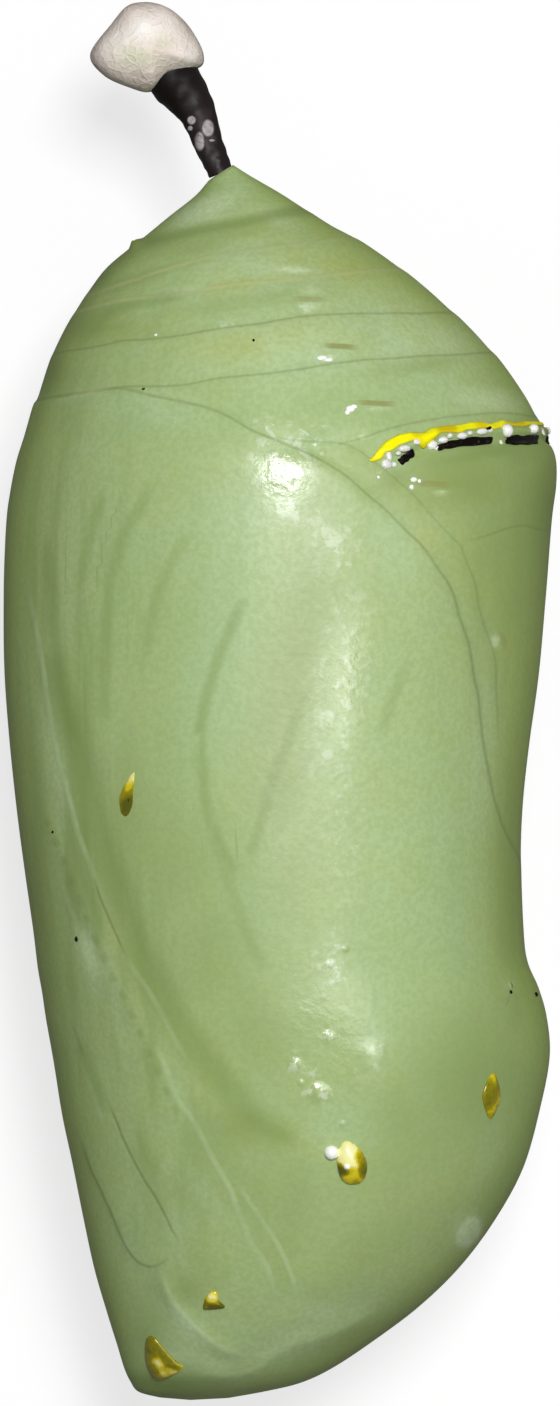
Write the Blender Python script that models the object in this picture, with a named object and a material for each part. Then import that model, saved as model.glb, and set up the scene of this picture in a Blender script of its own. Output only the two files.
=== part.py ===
"""Monarch chrysalis, lying on its left side.

The tail end points along +Y, the back (dorsal side) along +X, and the animal's right side faces up, +Z.
Lengths below are in millimetres and are multiplied by mm where the meshes are made.
The case is symmetric about its middle plane, which lies rest_height above the surface.
"""

import math

import bmesh
import bpy
from mathutils import Matrix, Vector
from mathutils.bvhtree import BVHTree

mm = 0.001

# Driving dimensions of the real chrysalis
rest_height = 5.0  # from the surface up to the middle plane of the case
flat_margin = 0.5  # how far the cutter of the resting flat reaches past the case
segment_step = 0.07  # how far each abdominal segment stands over the one behind it
wing_step = 0.11  # how far the wing cover stands over the abdomen at its edge
waist_step = 0.02  # the same below the waist, where the edge fades out
wing_fade = 2.0  # how far from that edge the abdomen is level with it again
groove_depth = 0.06  # of the long groove in front of the wing cover
groove_width = 0.28
band_rise = 0.09  # of the ridge that carries the black, white and gold band
band_hollow = 0.06  # of the hollow on the head side of that ridge
band_reach = 0.16  # half the ridge's width along the case
band_end = 70.0  # degrees from the back at which the ridge ends on each side
joint_gap = 0.05  # between two pieces, small because the pieces themselves are only millimetres thick
segments_around = 52
sharp_angle = 24.0  # degrees between two faces from which their edge shows

# Cross-sections from the tail to the head: the point on the belly (x, y), the point on the back (x, y)
# and half the breadth from side to side
sections = [
    (-1.44, 10.40, -0.94, 10.72, 0.24),
    (-1.70, 10.11, -0.62, 10.52, 0.56),
    (-2.24, 9.69, -0.02, 10.18, 1.12),
    (-2.92, 9.14, 0.40, 9.92, 1.66),
    (-3.50, 8.66, 1.00, 9.54, 2.24),
    (-3.88, 8.16, 1.60, 9.22, 2.72),
    (-4.16, 7.72, 2.56, 8.56, 3.28),
    (-4.56, 6.98, 3.50, 7.76, 3.90),
    (-4.88, 6.12, 4.28, 6.96, 4.42),
    (-5.12, 5.30, 4.84, 6.20, 4.78),
    (-5.26, 4.86, 5.14, 5.68, 4.96),
    (-5.35, 4.46, 5.37, 5.20, 5.07),
    (-5.41, 4.12, 5.51, 4.84, 5.11),
    (-5.46, 3.78, 5.52, 4.32, 5.12),
    (-5.50, 3.20, 5.43, 3.60, 5.12),
    (-5.53, 2.20, 5.32, 2.20, 5.11),
    (-5.52, 0.72, 5.17, 0.52, 5.09),
    (-5.43, -0.62, 4.99, -0.84, 5.08),
    (-5.28, -2.08, 4.86, -2.08, 5.06),
    (-5.12, -3.32, 4.82, -3.22, 5.03),
    (-4.94, -4.58, 4.87, -4.62, 4.95),
    (-4.85, -5.32, 4.95, -5.22, 4.90),
    (-4.76, -5.84, 5.17, -5.74, 4.87),
    (-4.68, -6.38, 5.33, -6.32, 4.84),
    (-4.53, -7.22, 5.39, -7.08, 4.76),
    (-4.36, -8.28, 5.22, -8.04, 4.61),
    (-4.16, -9.22, 4.87, -9.30, 4.34),
    (-3.94, -10.32, 4.30, -10.36, 3.94),
    (-3.72, -11.34, 3.60, -11.30, 3.46),
    (-3.46, -12.24, 2.78, -12.10, 2.90),
    (-3.26, -12.88, 1.88, -12.78, 2.36),
    (-3.12, -13.34, 1.07, -13.32, 1.84),
    (-3.00, -13.60, 0.44, -13.62, 1.38),
    (-2.84, -13.81, -0.24, -13.79, 0.92),
    (-2.44, -13.92, -1.00, -13.93, 0.50),
]
tail_centre = (-1.19, 10.56)
head_tip = (-1.80, -13.98)
# Sections, counted from the tail, behind which an abdominal segment ends in a ledge
ledges = [5, 6, 7, 8, 10]
ledge_width = 0.12  # in sections
band_section = 10.6  # where the ridge of the band runs
band_curl = 0.6  # how many sections its two ends bend towards the head
# How full the sections are, and how far their crest is shifted towards the back, from the tail to the head
crest_shift = [(0, 0.50), (10, 0.50), (15, 0.54), (24, 0.55), (29, 0.51), (34, 0.50)]
back_fullness = [(0, 2.0), (9, 2.05), (15, 2.25), (24, 2.2), (34, 2.0)]

# Edge of the wing cover on each side, from the belly to where it leaves the back at the waist, as (x, y)
wing_edge = [
    (-6.50, 5.75), (-5.00, 5.98), (-4.00, 6.18), (-3.20, 6.25), (-2.40, 6.10), (-1.60, 5.90), (-1.02, 5.68),
    (-0.45, 5.36), (0.54, 4.96), (1.20, 4.60), (1.75, 4.12), (2.26, 3.70), (2.60, 3.34), (2.88, 3.06),
    (3.16, 2.66), (3.44, 2.20), (3.60, 1.68), (3.74, 1.20), (3.86, 0.52), (4.00, -0.20), (4.16, -1.10),
    (4.34, -1.90), (4.62, -2.70), (5.10, -3.50), (6.50, -4.60),
]
# The groove in front of the wing cover, as (x, y)
groove_path = [
    (-4.90, 0.85), (-4.45, -1.25), (-3.75, -3.50), (-3.10, -4.60), (-2.45, -5.70), (-1.90, -6.80),
    (-1.05, -7.80), (-0.20, -8.70),
]

# Raised spots on each side: (x, y), half length, half width, rise, and degrees their length turns from +Y
knobs = {
    "wing_root_knob": ((1.36, -9.22), 0.42, 0.36, 0.22, 0),
    "back_knob": ((4.24, -7.90), 0.46, 0.19, 0.12, 8),
    "head_knob": ((-2.34, -13.10), 0.42, 0.34, 0.13, 40),
    "eye_knob": ((-1.36, -11.94), 0.22, 0.20, 0.13, 0),
    "neck_knob": ((4.63, -5.72), 0.16, 0.15, 0.09, 0),
}
# White beads on the band, as (x, y) and radius
beads = [
    ((2.17, 4.88), 0.13), ((2.31, 4.72), 0.11), ((2.48, 5.03), 0.10), ((3.06, 5.14), 0.11),
    ((3.28, 5.26), 0.10), ((3.64, 5.30), 0.11), ((3.98, 5.36), 0.12), ((4.18, 5.36), 0.12),
    ((4.47, 5.38), 0.15), ((4.82, 5.38), 0.10), ((5.02, 5.41), 0.13),
]

# Stalk: centre (x, y), half width in the view plane and half breadth, from the case to the silk
stalk_sections = [
    (-1.19, 10.56, 0.25, 0.23),
    (-1.26, 10.72, 0.26, 0.24),
    (-1.36, 10.95, 0.28, 0.25),
    (-1.49, 11.31, 0.31, 0.27),
    (-1.61, 11.65, 0.35, 0.30),
    (-1.74, 11.90, 0.41, 0.34),
    (-1.93, 12.18, 0.48, 0.40),
    (-2.10, 12.42, 0.53, 0.46),
    (-2.22, 12.66, 0.55, 0.48),
]
stalk_around = 14
stalk_wrinkle = 0.03

# Silk button: outline in the view plane, the point it shrinks towards, and half its breadth
button_outline = [
    (-3.54, 12.52), (-3.04, 12.28), (-2.60, 12.18), (-2.26, 12.46), (-1.88, 12.58), (-1.57, 12.70),
    (-1.53, 12.92), (-1.64, 13.20), (-1.86, 13.54), (-2.14, 13.80), (-2.44, 13.94), (-2.74, 13.98),
    (-3.06, 13.90), (-3.36, 13.56), (-3.80, 12.94),
]
button_centre = (-2.60, 13.02)
button_breadth = 0.92
button_around = 28
button_rings = 10


def clear_scene():
    for obj in list(bpy.data.objects):
        bpy.data.objects.remove(obj, do_unlink=True)


def material(name, colour, roughness, metallic=0.0):
    made = bpy.data.materials.new(name)
    made.use_nodes = True
    shader = made.node_tree.nodes["Principled BSDF"]
    shader.inputs["Base Color"].default_value = (*colour, 1)
    shader.inputs["Roughness"].default_value = roughness
    shader.inputs["Metallic"].default_value = metallic
    return made


def object_from(name, bm, look):
    mesh = bpy.data.meshes.new(name)
    bm.to_mesh(mesh)
    bm.free()
    mesh.materials.append(look)
    mesh.shade_smooth()
    mesh.set_sharp_from_angle(angle=math.radians(sharp_angle))
    obj = bpy.data.objects.new(name, mesh)
    bpy.context.collection.objects.link(obj)
    return obj


def helper(name, bm):
    obj = object_from(name, bm, material(name, (1, 0, 0), 0.5))
    obj.hide_render = True
    obj.display_type = "WIRE"
    return obj


def boolean(obj, other, operation):
    modifier = obj.modifiers.new(other.name, "BOOLEAN")
    modifier.object = other
    modifier.operation = operation
    modifier.solver = "EXACT"
    modifier.use_self = operation == "UNION"


def apply_modifiers(obj):
    graph = bpy.context.evaluated_depsgraph_get()
    mesh = bpy.data.meshes.new_from_object(obj.evaluated_get(graph))
    obj.modifiers.clear()
    obj.data = mesh
    mesh.shade_smooth()
    mesh.set_sharp_from_angle(angle=math.radians(sharp_angle))


def face_outward(bm):
    bm.normal_update()
    bmesh.ops.recalc_face_normals(bm, faces=bm.faces)
    bm.normal_update()


def curve_value(rows, place):
    """The rows read at a place between them, as a smooth curve through all of them."""
    last = len(rows) - 1
    place = min(max(place, 0.0), float(last))
    start = min(int(place), last - 1)
    part = place - start
    values = []
    for column in range(len(rows[0])):
        p0, p1, p2, p3 = (rows[min(max(start + step, 0), last)][column] for step in (-1, 0, 1, 2))
        slope, bend = p2 - p0, 2 * p0 - 5 * p1 + 4 * p2 - p3
        values.append(p1 + 0.5 * part * (slope + part * (bend + part * (3 * p1 - 3 * p2 + p3 - p0))))
    return values


def line_value(stops, place):
    """A value that changes evenly from stop to stop."""
    for (low, first), (high, second) in zip(stops, stops[1:]):
        if place <= high:
            return first + (second - first) * max(place - low, 0.0) / (high - low)
    return stops[-1][1]


def smooth_step(low, high, value):
    part = min(max((value - low) / (high - low), 0.0), 1.0)
    return part * part * (3 - 2 * part)


def power(value, exponent):
    return math.copysign(abs(value) ** exponent, value)


def case_point(place, turn):
    """A point of the smooth case: turn is 0 on the back, 90 degrees on the upper side, 180 on the belly."""
    belly_x, belly_y, back_x, back_y, breadth = curve_value(sections, place)
    belly, back = Vector((belly_x, belly_y, 0)), Vector((back_x, back_y, 0))
    crest = belly.lerp(back, line_value(crest_shift, place))
    fullness = line_value(back_fullness, place) if math.cos(turn) > 0 else 2.0
    reach = (back - crest) if math.cos(turn) > 0 else (crest - belly)
    across = reach * power(math.cos(turn), 2 / fullness)
    return crest + across + Vector((0, 0, breadth * power(math.sin(turn), 2 / fullness)))


def beside(point, path):
    """Distance from the point to the path in the view plane, positive to the left of its direction."""
    best = None
    for start, end in zip(path, path[1:]):
        a, b = Vector(start), Vector(end)
        along = b - a
        part = min(max((point - a).dot(along) / along.length_squared, 0.0), 1.0)
        offset = point - (a + along * part)
        if best is None or offset.length < abs(best):
            best = math.copysign(offset.length, along.cross(offset))
    return best


def segment_relief(place):
    """Each segment sinks slowly along its length and the next one steps out over it."""
    for start, end in zip([ledges[0] - 2] + ledges, ledges):
        if start <= place <= end + ledge_width:
            rise = smooth_step(end, end + ledge_width, place)
            return -segment_step * smooth_step(start, end, place) * (1 - rise)
    return 0.0


def wing_sink(point, place):
    """The abdomen lies lower beside and under the wing cover, and rises to its level away from the edge."""
    step = wing_step + (waist_step - wing_step) * smooth_step(15, 19, place)
    return -step * (1 - smooth_step(0, wing_fade, beside(point, wing_edge)))


def groove_relief(point):
    away = beside(point, groove_path) / groove_width
    return -groove_depth * math.exp(-away * away)


def band_relief(place, turn):
    degrees = abs(math.degrees(turn))
    centre = band_section + band_curl * smooth_step(band_end - 16, band_end, degrees)
    away = (place - centre) / band_reach
    ridge = band_rise * math.exp(-away * away)
    hollow = band_hollow * math.exp(-((away - 2.6) ** 2))
    return (ridge - hollow) * (1 - smooth_step(band_end - 4, band_end + 3, degrees))


def ring_places():
    """Where the rings of the mesh run: even steps, with closer ones at the ledges and the band."""
    last = len(sections) - 1
    steps = [0, 0.5, 1, 1.7, 2.5, 3.4, 4.3]
    for ledge in ledges:
        steps += [ledge, ledge + ledge_width, ledge + 0.55]
    steps += [band_section + band_reach * step for step in (-1.6, -0.7, 0, 0.7, 1.6, 2.6, 3.8)]
    place = band_section + 1.2
    while place < last - 0.2:
        steps.append(place)
        place += 0.58 if 14 < place < 19 else 0.8
    steps.append(last)
    return sorted(set(round(step, 3) for step in steps if step <= last))


def make_case(covered):
    """The whole case as a mesh: with the wing covers' surface, or with the lower one of the abdomen."""
    places = ring_places()
    bm = bmesh.new()
    bmesh.ops.create_uvsphere(bm, u_segments=segments_around, v_segments=len(places) + 1, radius=1)
    spots = {}
    for vert in bm.verts:
        ring = round(math.acos(min(max(vert.co.z, -1), 1)) / math.pi * (len(places) + 1))
        turn = math.atan2(vert.co.y, vert.co.x)
        if ring == 0:
            vert.co = Vector((*tail_centre, 0))
        elif ring == len(places) + 1:
            vert.co = Vector((*head_tip, 0))
            vert.co.y += 0 if covered else waist_step
        else:
            spots[vert] = (places[ring - 1], turn)
            vert.co = case_point(*spots[vert])
    face_outward(bm)
    moves = {}
    for vert, (place, turn) in spots.items():
        if place < 0.4:
            continue
        if covered:
            relief = groove_relief(vert.co.xy)
        else:
            relief = segment_relief(place) + wing_sink(vert.co.xy, place) + band_relief(place, turn)
        moves[vert] = vert.normal * relief
    for vert, move in moves.items():
        vert.co += move
    lift_and_scale(bm)
    return bm


def make_wing_block():
    """A block through both sides of the case, cut off along the edge of the wing cover."""
    bm = bmesh.new()
    outline = wing_edge + [(6.5, -15.0), (-6.5, -15.0)]
    bottom = bm.faces.new([bm.verts.new((x, y, -6.5)) for x, y in outline])
    top = bmesh.ops.extrude_face_region(bm, geom=[bottom])
    raised = [item for item in top["geom"] if isinstance(item, bmesh.types.BMVert)]
    bmesh.ops.translate(bm, verts=raised, vec=(0, 0, 13))
    face_outward(bm)
    lift_and_scale(bm)
    return bm


def lift_and_scale(bm):
    bmesh.ops.translate(bm, verts=bm.verts, vec=(0, 0, rest_height))
    bmesh.ops.scale(bm, verts=bm.verts, vec=(mm, mm, mm))


def side_spot(tree, x, y, side):
    """Where a line along Z through (x, y) meets the upper (side 1) or lower (side -1) surface."""
    start = Vector((x * mm, y * mm, (rest_height + 20 * side) * mm))
    place, normal, _, _ = tree.ray_cast(start, Vector((0, 0, -side)))
    return place, normal


def add_bump(bm, place, normal, half_sizes, turn_degrees, side, around=10):
    """A flattened ball whose middle lies in the surface."""
    upright = normal.to_track_quat("Z", "Y").to_matrix().to_4x4()
    turned = Matrix.Rotation(math.radians(-turn_degrees * side), 4, "Z")
    shape = Matrix.Diagonal((*[size * mm for size in half_sizes], 1))
    matrix = Matrix.Translation(place) @ upright @ turned @ shape
    bmesh.ops.create_uvsphere(bm, u_segments=around, v_segments=around // 2, radius=1, matrix=matrix)


def make_bumps(case_bm):
    tree = BVHTree.FromBMesh(case_bm)
    bm = bmesh.new()
    for side in (1, -1):
        for (x, y), length, width, rise, turn in knobs.values():
            place, normal = side_spot(tree, x, y, side)
            add_bump(bm, place, normal, (width, length, rise), turn, side)
        for (x, y), radius in beads:
            place, normal = side_spot(tree, x, y, side)
            add_bump(bm, place, normal, (radius, radius, radius * 0.8), 0, side, around=8)
    return bm


def make_low_block():
    """The block whose top takes the round underside off flat, so that the case rests on it."""
    bm = bmesh.new()
    bmesh.ops.create_cube(bm, size=1)
    bmesh.ops.scale(bm, verts=bm.verts, vec=(14 * mm, 30 * mm, 2 * flat_margin * mm))
    bmesh.ops.translate(bm, verts=bm.verts, vec=(0, 0, -flat_margin * mm))
    return bm


def build_case(look):
    cover_bm = make_case(covered=True)
    bumps = helper("bumps", make_bumps(cover_bm))
    cover = helper("wing_covers_and_head", cover_bm)
    boolean(cover, helper("wing_block", make_wing_block()), "INTERSECT")
    case = object_from("chrysalis_case", make_case(covered=False), look)
    boolean(case, cover, "UNION")
    boolean(case, bumps, "UNION")
    boolean(case, helper("low_block", make_low_block()), "DIFFERENCE")
    apply_modifiers(case)


def stalk_ring(place, turn):
    x, y, width, breadth = curve_value(stalk_sections, place)
    ahead, behind = curve_value(stalk_sections, place + 0.1), curve_value(stalk_sections, place - 0.1)
    along = Vector((ahead[0] - behind[0], ahead[1] - behind[1], 0)).normalized()
    across = Vector((along.y, -along.x, 0))
    wrinkle = stalk_wrinkle * math.sin(2.3 * place + 3 * turn) * math.sin(5.1 * place)
    wrinkle *= smooth_step(0.2, 1.2, place)
    lift = Vector((0, 0, (breadth + wrinkle) * math.sin(turn)))
    return Vector((x, y, 0)) + across * (width + wrinkle) * math.cos(turn) + lift


def build_stalk(look, button_seat):
    rings = 2 * (len(stalk_sections) - 1)
    last = len(stalk_sections) - 1
    tail = Vector((*tail_centre, 0))
    away_from_case = Vector((stalk_sections[1][0], stalk_sections[1][1], 0)) - tail
    gap = away_from_case.normalized() * joint_gap
    bm = bmesh.new()
    bmesh.ops.create_uvsphere(bm, u_segments=stalk_around, v_segments=rings + 2, radius=1)
    for vert in bm.verts:
        ring = round(math.acos(min(max(vert.co.z, -1), 1)) / math.pi * (rings + 2))
        turn = math.atan2(vert.co.y, vert.co.x)
        if ring == 0:
            vert.co = tail + gap
        elif ring == rings + 2:
            vert.co = Vector((stalk_sections[-1][0], stalk_sections[-1][1], 0))
        else:
            vert.co = stalk_ring(last * (ring - 1) / rings, turn)
            if ring == 1:
                vert.co += gap
    face_outward(bm)
    lift_and_scale(bm)
    stalk = object_from("cremaster_stalk", bm, look)
    boolean(stalk, button_seat, "DIFFERENCE")
    apply_modifiers(stalk)


def button_point(turn, height):
    """The outline read at a turn, shrunk towards the centre as the height goes from 0 to 1 or -1."""
    count = len(button_outline)
    place = (turn % 1.0) * count
    start = int(place) % count
    rows = [button_outline[(start + step) % count] for step in (-1, 0, 1, 2)]
    x, y = curve_value(rows, 1 + place % 1)
    size = math.sqrt(max(1 - height * height, 0.0))
    centre = Vector((*button_centre, 0))
    lump = 1 + 0.05 * math.sin(5 * math.tau * turn + 3 * height) * size * abs(height)
    return centre + (Vector((x, y, 0)) - centre) * size * lump + Vector((0, 0, button_breadth * height))


def make_button(growth):
    bm = bmesh.new()
    bmesh.ops.create_uvsphere(bm, u_segments=button_around, v_segments=button_rings, radius=1)
    for vert in bm.verts:
        turn = math.atan2(vert.co.y, vert.co.x) / math.tau
        vert.co = button_point(turn, vert.co.z)
    face_outward(bm)
    moves = {vert: vert.normal * growth for vert in bm.verts}
    for vert, move in moves.items():
        vert.co += move
    lift_and_scale(bm)
    return bm


def main():
    clear_scene()
    case_green = material("case_green", (0.28, 0.38, 0.16), 0.35)
    stalk_black = material("stalk_black", (0.012, 0.008, 0.007), 0.3)
    silk_cream = material("silk_cream", (0.78, 0.70, 0.62), 0.8)
    build_case(case_green)
    object_from("silk_button", make_button(0.0), silk_cream)
    button_seat = helper("button_seat", make_button(joint_gap))
    build_stalk(stalk_black, button_seat)


main()
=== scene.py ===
import math

import bmesh
import bpy
import numpy as np
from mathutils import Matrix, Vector


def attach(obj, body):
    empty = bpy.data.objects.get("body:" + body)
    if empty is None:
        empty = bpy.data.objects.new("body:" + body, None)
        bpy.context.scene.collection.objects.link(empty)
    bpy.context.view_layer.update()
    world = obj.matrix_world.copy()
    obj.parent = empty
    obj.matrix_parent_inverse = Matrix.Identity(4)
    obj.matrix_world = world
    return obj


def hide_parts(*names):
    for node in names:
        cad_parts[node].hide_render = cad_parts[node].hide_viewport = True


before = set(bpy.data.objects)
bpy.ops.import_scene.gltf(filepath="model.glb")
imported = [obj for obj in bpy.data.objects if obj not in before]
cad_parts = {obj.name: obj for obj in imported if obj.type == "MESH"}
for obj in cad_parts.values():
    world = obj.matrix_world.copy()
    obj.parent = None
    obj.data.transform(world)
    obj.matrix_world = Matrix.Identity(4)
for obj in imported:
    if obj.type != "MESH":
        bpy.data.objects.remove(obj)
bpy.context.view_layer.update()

# Lengths are millimetres with the middle plane of the case at height 0; toScene() lifts and scales them.
# Marks are placed by pixels of the photograph, which looks straight at the side that faces up here.
framing = {
    "restHeight": 5.0,  # from the floor up to the middle plane of the case
    "pixelSize": 0.02,  # what one pixel covers on the middle plane
    "middlePixel": (280.0, 703.0),
    "middlePoint": (-0.004, -0.04),  # what that pixel looks at
    "pixelsHigh": 1406,
    "lens": 200.0,
    "sensor": 24.0,
}
cameraReach = framing["pixelsHigh"] * framing["pixelSize"] * framing["lens"] / framing["sensor"]
millimetre = 0.001  # in scene units
pixelInScene = framing["pixelSize"] * millimetre

caseForm = {
    # from the tail to the head: point on the belly (x, y), point on the back (x, y), half the breadth
    "sections": [
        (-1.44, 10.40, -0.94, 10.72, 0.24), (-1.70, 10.11, -0.62, 10.52, 0.56), (-2.24, 9.69, -0.02, 10.18, 1.12),
        (-2.92, 9.14, 0.40, 9.92, 1.66), (-3.50, 8.66, 1.00, 9.54, 2.24), (-3.88, 8.16, 1.60, 9.22, 2.72),
        (-4.16, 7.72, 2.56, 8.56, 3.28), (-4.56, 6.98, 3.50, 7.76, 3.90), (-4.88, 6.12, 4.28, 6.96, 4.42),
        (-5.12, 5.30, 4.84, 6.20, 4.78), (-5.26, 4.86, 5.14, 5.68, 4.96), (-5.35, 4.46, 5.37, 5.20, 5.07),
        (-5.41, 4.12, 5.51, 4.84, 5.11), (-5.46, 3.78, 5.52, 4.32, 5.12), (-5.50, 3.20, 5.43, 3.60, 5.12),
        (-5.53, 2.20, 5.32, 2.20, 5.11), (-5.52, 0.72, 5.17, 0.52, 5.09), (-5.43, -0.62, 4.99, -0.84, 5.08),
        (-5.28, -2.08, 4.86, -2.08, 5.06), (-5.12, -3.32, 4.82, -3.22, 5.03), (-4.94, -4.58, 4.87, -4.62, 4.95),
        (-4.85, -5.32, 4.95, -5.22, 4.90), (-4.76, -5.84, 5.17, -5.74, 4.87), (-4.68, -6.38, 5.33, -6.32, 4.84),
        (-4.53, -7.22, 5.39, -7.08, 4.76), (-4.36, -8.28, 5.22, -8.04, 4.61), (-4.16, -9.22, 4.87, -9.30, 4.34),
        (-3.94, -10.32, 4.30, -10.36, 3.94), (-3.72, -11.34, 3.60, -11.30, 3.46),
        (-3.46, -12.24, 2.78, -12.10, 2.90), (-3.26, -12.88, 1.88, -12.78, 2.36),
        (-3.12, -13.34, 1.07, -13.32, 1.84), (-3.00, -13.60, 0.44, -13.62, 1.38),
        (-2.84, -13.81, -0.24, -13.79, 0.92), (-2.44, -13.92, -1.00, -13.93, 0.50),
    ],
    "tailCentre": (-1.19, 10.56, 0),
    "headTip": (-1.80, -13.98, 0),
    "crestShift": [(0, 0.50), (10, 0.50), (15, 0.54), (24, 0.55), (29, 0.51), (34, 0.50)],
    "backFullness": [(0, 2.0), (9, 2.05), (15, 2.25), (24, 2.2), (34, 2.0)],
}

# Shapes of the case that stand over its smooth form; the curves are in photograph pixels
coverShape = {
    "wingEdge": [
        (-45, 414), (30, 402), (60, 396), (96, 391), (122, 388.7), (163, 398), (201, 406), (230, 417), (258, 433),
        (307, 453), (340, 471), (354, 482), (368, 495), (382, 506), (393, 516), (410, 534), (424, 548), (438, 568),
        (452, 590), (460, 617), (466, 634), (471, 653), (474, 675), (479, 698), (482, 731), (488, 768), (497, 808),
        (511, 842), (535, 880), (605, 935),
    ],
    "wingStep": 0.05,
    "waistStep": 0.009,
    "waist": (15, 19),  # places over which the step changes
    "wingFade": 70,
    "softEdge": 4,
    "hindEdge": [
        (264, 435), (296, 440), (340, 443), (358, 450), (372, 460), (393, 476), (413, 494), (424, 506), (438, 522),
        (456, 541), (461, 546), (466, 560), (473, 576), (477, 590), (480, 610), (495, 657), (497, 692), (499, 740),
    ],
    "hindStep": 0.02,
    "hindFade": 35,
    "hindEnds": 60,
    "groove": [
        (50, 640), (56, 678), (69, 725), (86, 781), (100, 845), (117, 889), (133, 933), (153, 977), (173, 1015),
        (191, 1042), (206, 1064), (232, 1092), (262, 1124),
    ],
    "antenna": [
        (38, 798), (53, 834), (63, 857), (73, 883), (82, 904), (92, 930), (101, 951), (113, 977), (126, 1001),
        (135, 1021), (144, 1042), (158, 1071), (170, 1098), (187, 1130),
    ],
    "antennaBead": 21,
    "beadSwell": 0.3,
    "headPlate": [
        (80, 1136), (89, 1166), (101, 1192), (112, 1216), (121, 1238), (129, 1253), (140, 1264), (151, 1267),
        (160, 1264), (167, 1258), (171, 1250),
    ],
    "plateStep": 0.022,
    "plateFade": 22,
    "headRidge": [
        (158, 1262), (161, 1270), (166, 1287), (175, 1305), (188, 1320), (207, 1339), (229, 1351), (252, 1358),
    ],
    "browRidge": [
        (188, 1372), (220, 1375), (251, 1371), (277, 1353), (299, 1343), (331, 1333), (353, 1322), (380, 1304),
    ],
    # rise in mm, half width and faded ends in pixels
    "ridges": {"groove": (-0.022, 15, 150), "antenna": (0.012, 6, 30), "headRidge": (0.04, 8, 30),
               "browRidge": (0.03, 9, 30)},
    "tooth": (134.5, 242.5),
    "toothRise": 0.11,
    "toothSpread": 18,
}
# Rings where one abdominal segment ends and the next stands over it: step in mm, curve from belly to back
segmentRings = [
    (0.015, [(128, 247), (166, 238), (204, 229), (243, 222), (290, 212), (345, 208)]),
    (0.022, [(80, 298), (101, 291), (163, 270), (210, 257), (272, 247), (330, 240), (372, 237)]),
    (0.022, [(60, 322), (80, 311), (124, 300), (172, 295), (230, 285), (300, 278), (360, 272), (420, 268)]),
    (0.028, [(40, 358), (70, 351), (99.5, 346), (122, 341), (172, 337), (220, 328), (260, 323), (298, 317),
             (336, 314), (375, 313), (423, 313), (470, 312)]),
    (0.030, [(100, 390), (122, 387), (182, 385), (220, 378), (260, 374), (298, 369), (336, 363), (375, 359),
             (423, 356), (463, 354), (510, 351)]),
    (0.020, [(330, 447), (355, 440), (373, 434.6), (382, 430.5), (410, 423), (438, 418), (466, 415), (501, 413),
             (536, 416.5), (570, 423)]),
]
segmentFade = 28  # pixels over which a segment rises again towards the tail
segmentEnds = 25

# The ridge under the band: its place, how far its end curls to the head, half width in places, height and
# the depth of the hollow beside it in mm, and its end in degrees from the back
bandShape = {"centre": 10.6, "curl": 0.6, "reach": 0.16, "rise": 0.09, "hollow": 0.06, "end": 70.0}


def readRows(rows, places):
    rows = np.asarray(rows, float)
    last = len(rows) - 1
    places = np.clip(np.asarray(places, float), 0, last)
    start = np.minimum(places.astype(int), last - 1)
    part = (places - start)[:, None]
    p0, p1, p2, p3 = (rows[np.clip(start + step, 0, last)] for step in (-1, 0, 1, 2))
    bend = 2 * p0 - 5 * p1 + 4 * p2 - p3 + part * (3 * p1 - 3 * p2 + p3 - p0)
    return p1 + 0.5 * part * (p2 - p0 + part * bend)


def smoothStep(low, high, value):
    part = np.clip((value - low) / (high - low), 0, 1)
    return part * part * (3 - 2 * part)


def signedPower(value, exponent):
    return np.sign(value) * np.abs(value) ** exponent


def atStops(stops, value):
    return np.interp(value, [stop[0] for stop in stops], [stop[1] for stop in stops])


def casePoint(place, turn):
    # turn is 0 on the back, a quarter on the upper side and a half on the belly
    row = readRows(caseForm["sections"], place)
    belly, back, breadth = row[:, 0:2], row[:, 2:4], row[:, 4]
    crest = belly + (back - belly) * atStops(caseForm["crestShift"], place)[:, None]
    onBack = np.cos(turn) > 0
    fullness = np.where(onBack, atStops(caseForm["backFullness"], place), 2.0)
    reach = np.where(onBack[:, None], back - crest, crest - belly)
    flat = crest + reach * signedPower(np.cos(turn), 2 / fullness)[:, None]
    return np.column_stack([flat, breadth * signedPower(np.sin(turn), 2 / fullness)])


def caseNormal(place, turn, small=0.01):
    alongCase = casePoint(place + small, turn) - casePoint(place - small, turn)
    aroundCase = casePoint(place, turn + small) - casePoint(place, turn - small)
    normal = np.cross(aroundCase, alongCase)
    return normal / np.maximum(np.linalg.norm(normal, axis=1), 1e-9)[:, None]


def photoSpot(points):
    # pixel where the camera sees each point; the underside is read as if it faced up
    stretch = cameraReach / (cameraReach - np.abs(points[:, 2])) / framing["pixelSize"]
    across = framing["middlePixel"][0] + (points[:, 0] - framing["middlePoint"][0]) * stretch
    down = framing["middlePixel"][1] - (points[:, 1] - framing["middlePoint"][1]) * stretch
    return across, down


def besideCurve(across, down, curve):
    # signed distance in pixels, positive on the right of the curve's way, then the way along it, and its length
    path = readRows(curve, np.linspace(0, len(curve) - 1, (len(curve) - 1) * 4 + 1))
    away, side = np.full(across.shape, 1e6), np.ones(across.shape)
    along, passed = np.zeros(across.shape), 0.0
    for (x0, y0), (x1, y1) in zip(path[:-1], path[1:]):
        runX, runY = x1 - x0, y1 - y0
        length = math.hypot(runX, runY)
        offX, offY = across - x0, down - y0
        part = np.clip((offX * runX + offY * runY) / length ** 2, 0, 1)
        distance = np.hypot(offX - part * runX, offY - part * runY)
        nearer = distance < away
        away = np.where(nearer, distance, away)
        side = np.where(nearer, np.where(runX * offY - runY * offX < 0, -1.0, 1.0), side)
        along = np.where(nearer, passed + part * length, along)
        passed += length
    return away * side, along, passed


def fadedEnds(along, length, fade):
    return smoothStep(0, fade, along) * (1 - smoothStep(length - fade, length, along))


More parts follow.
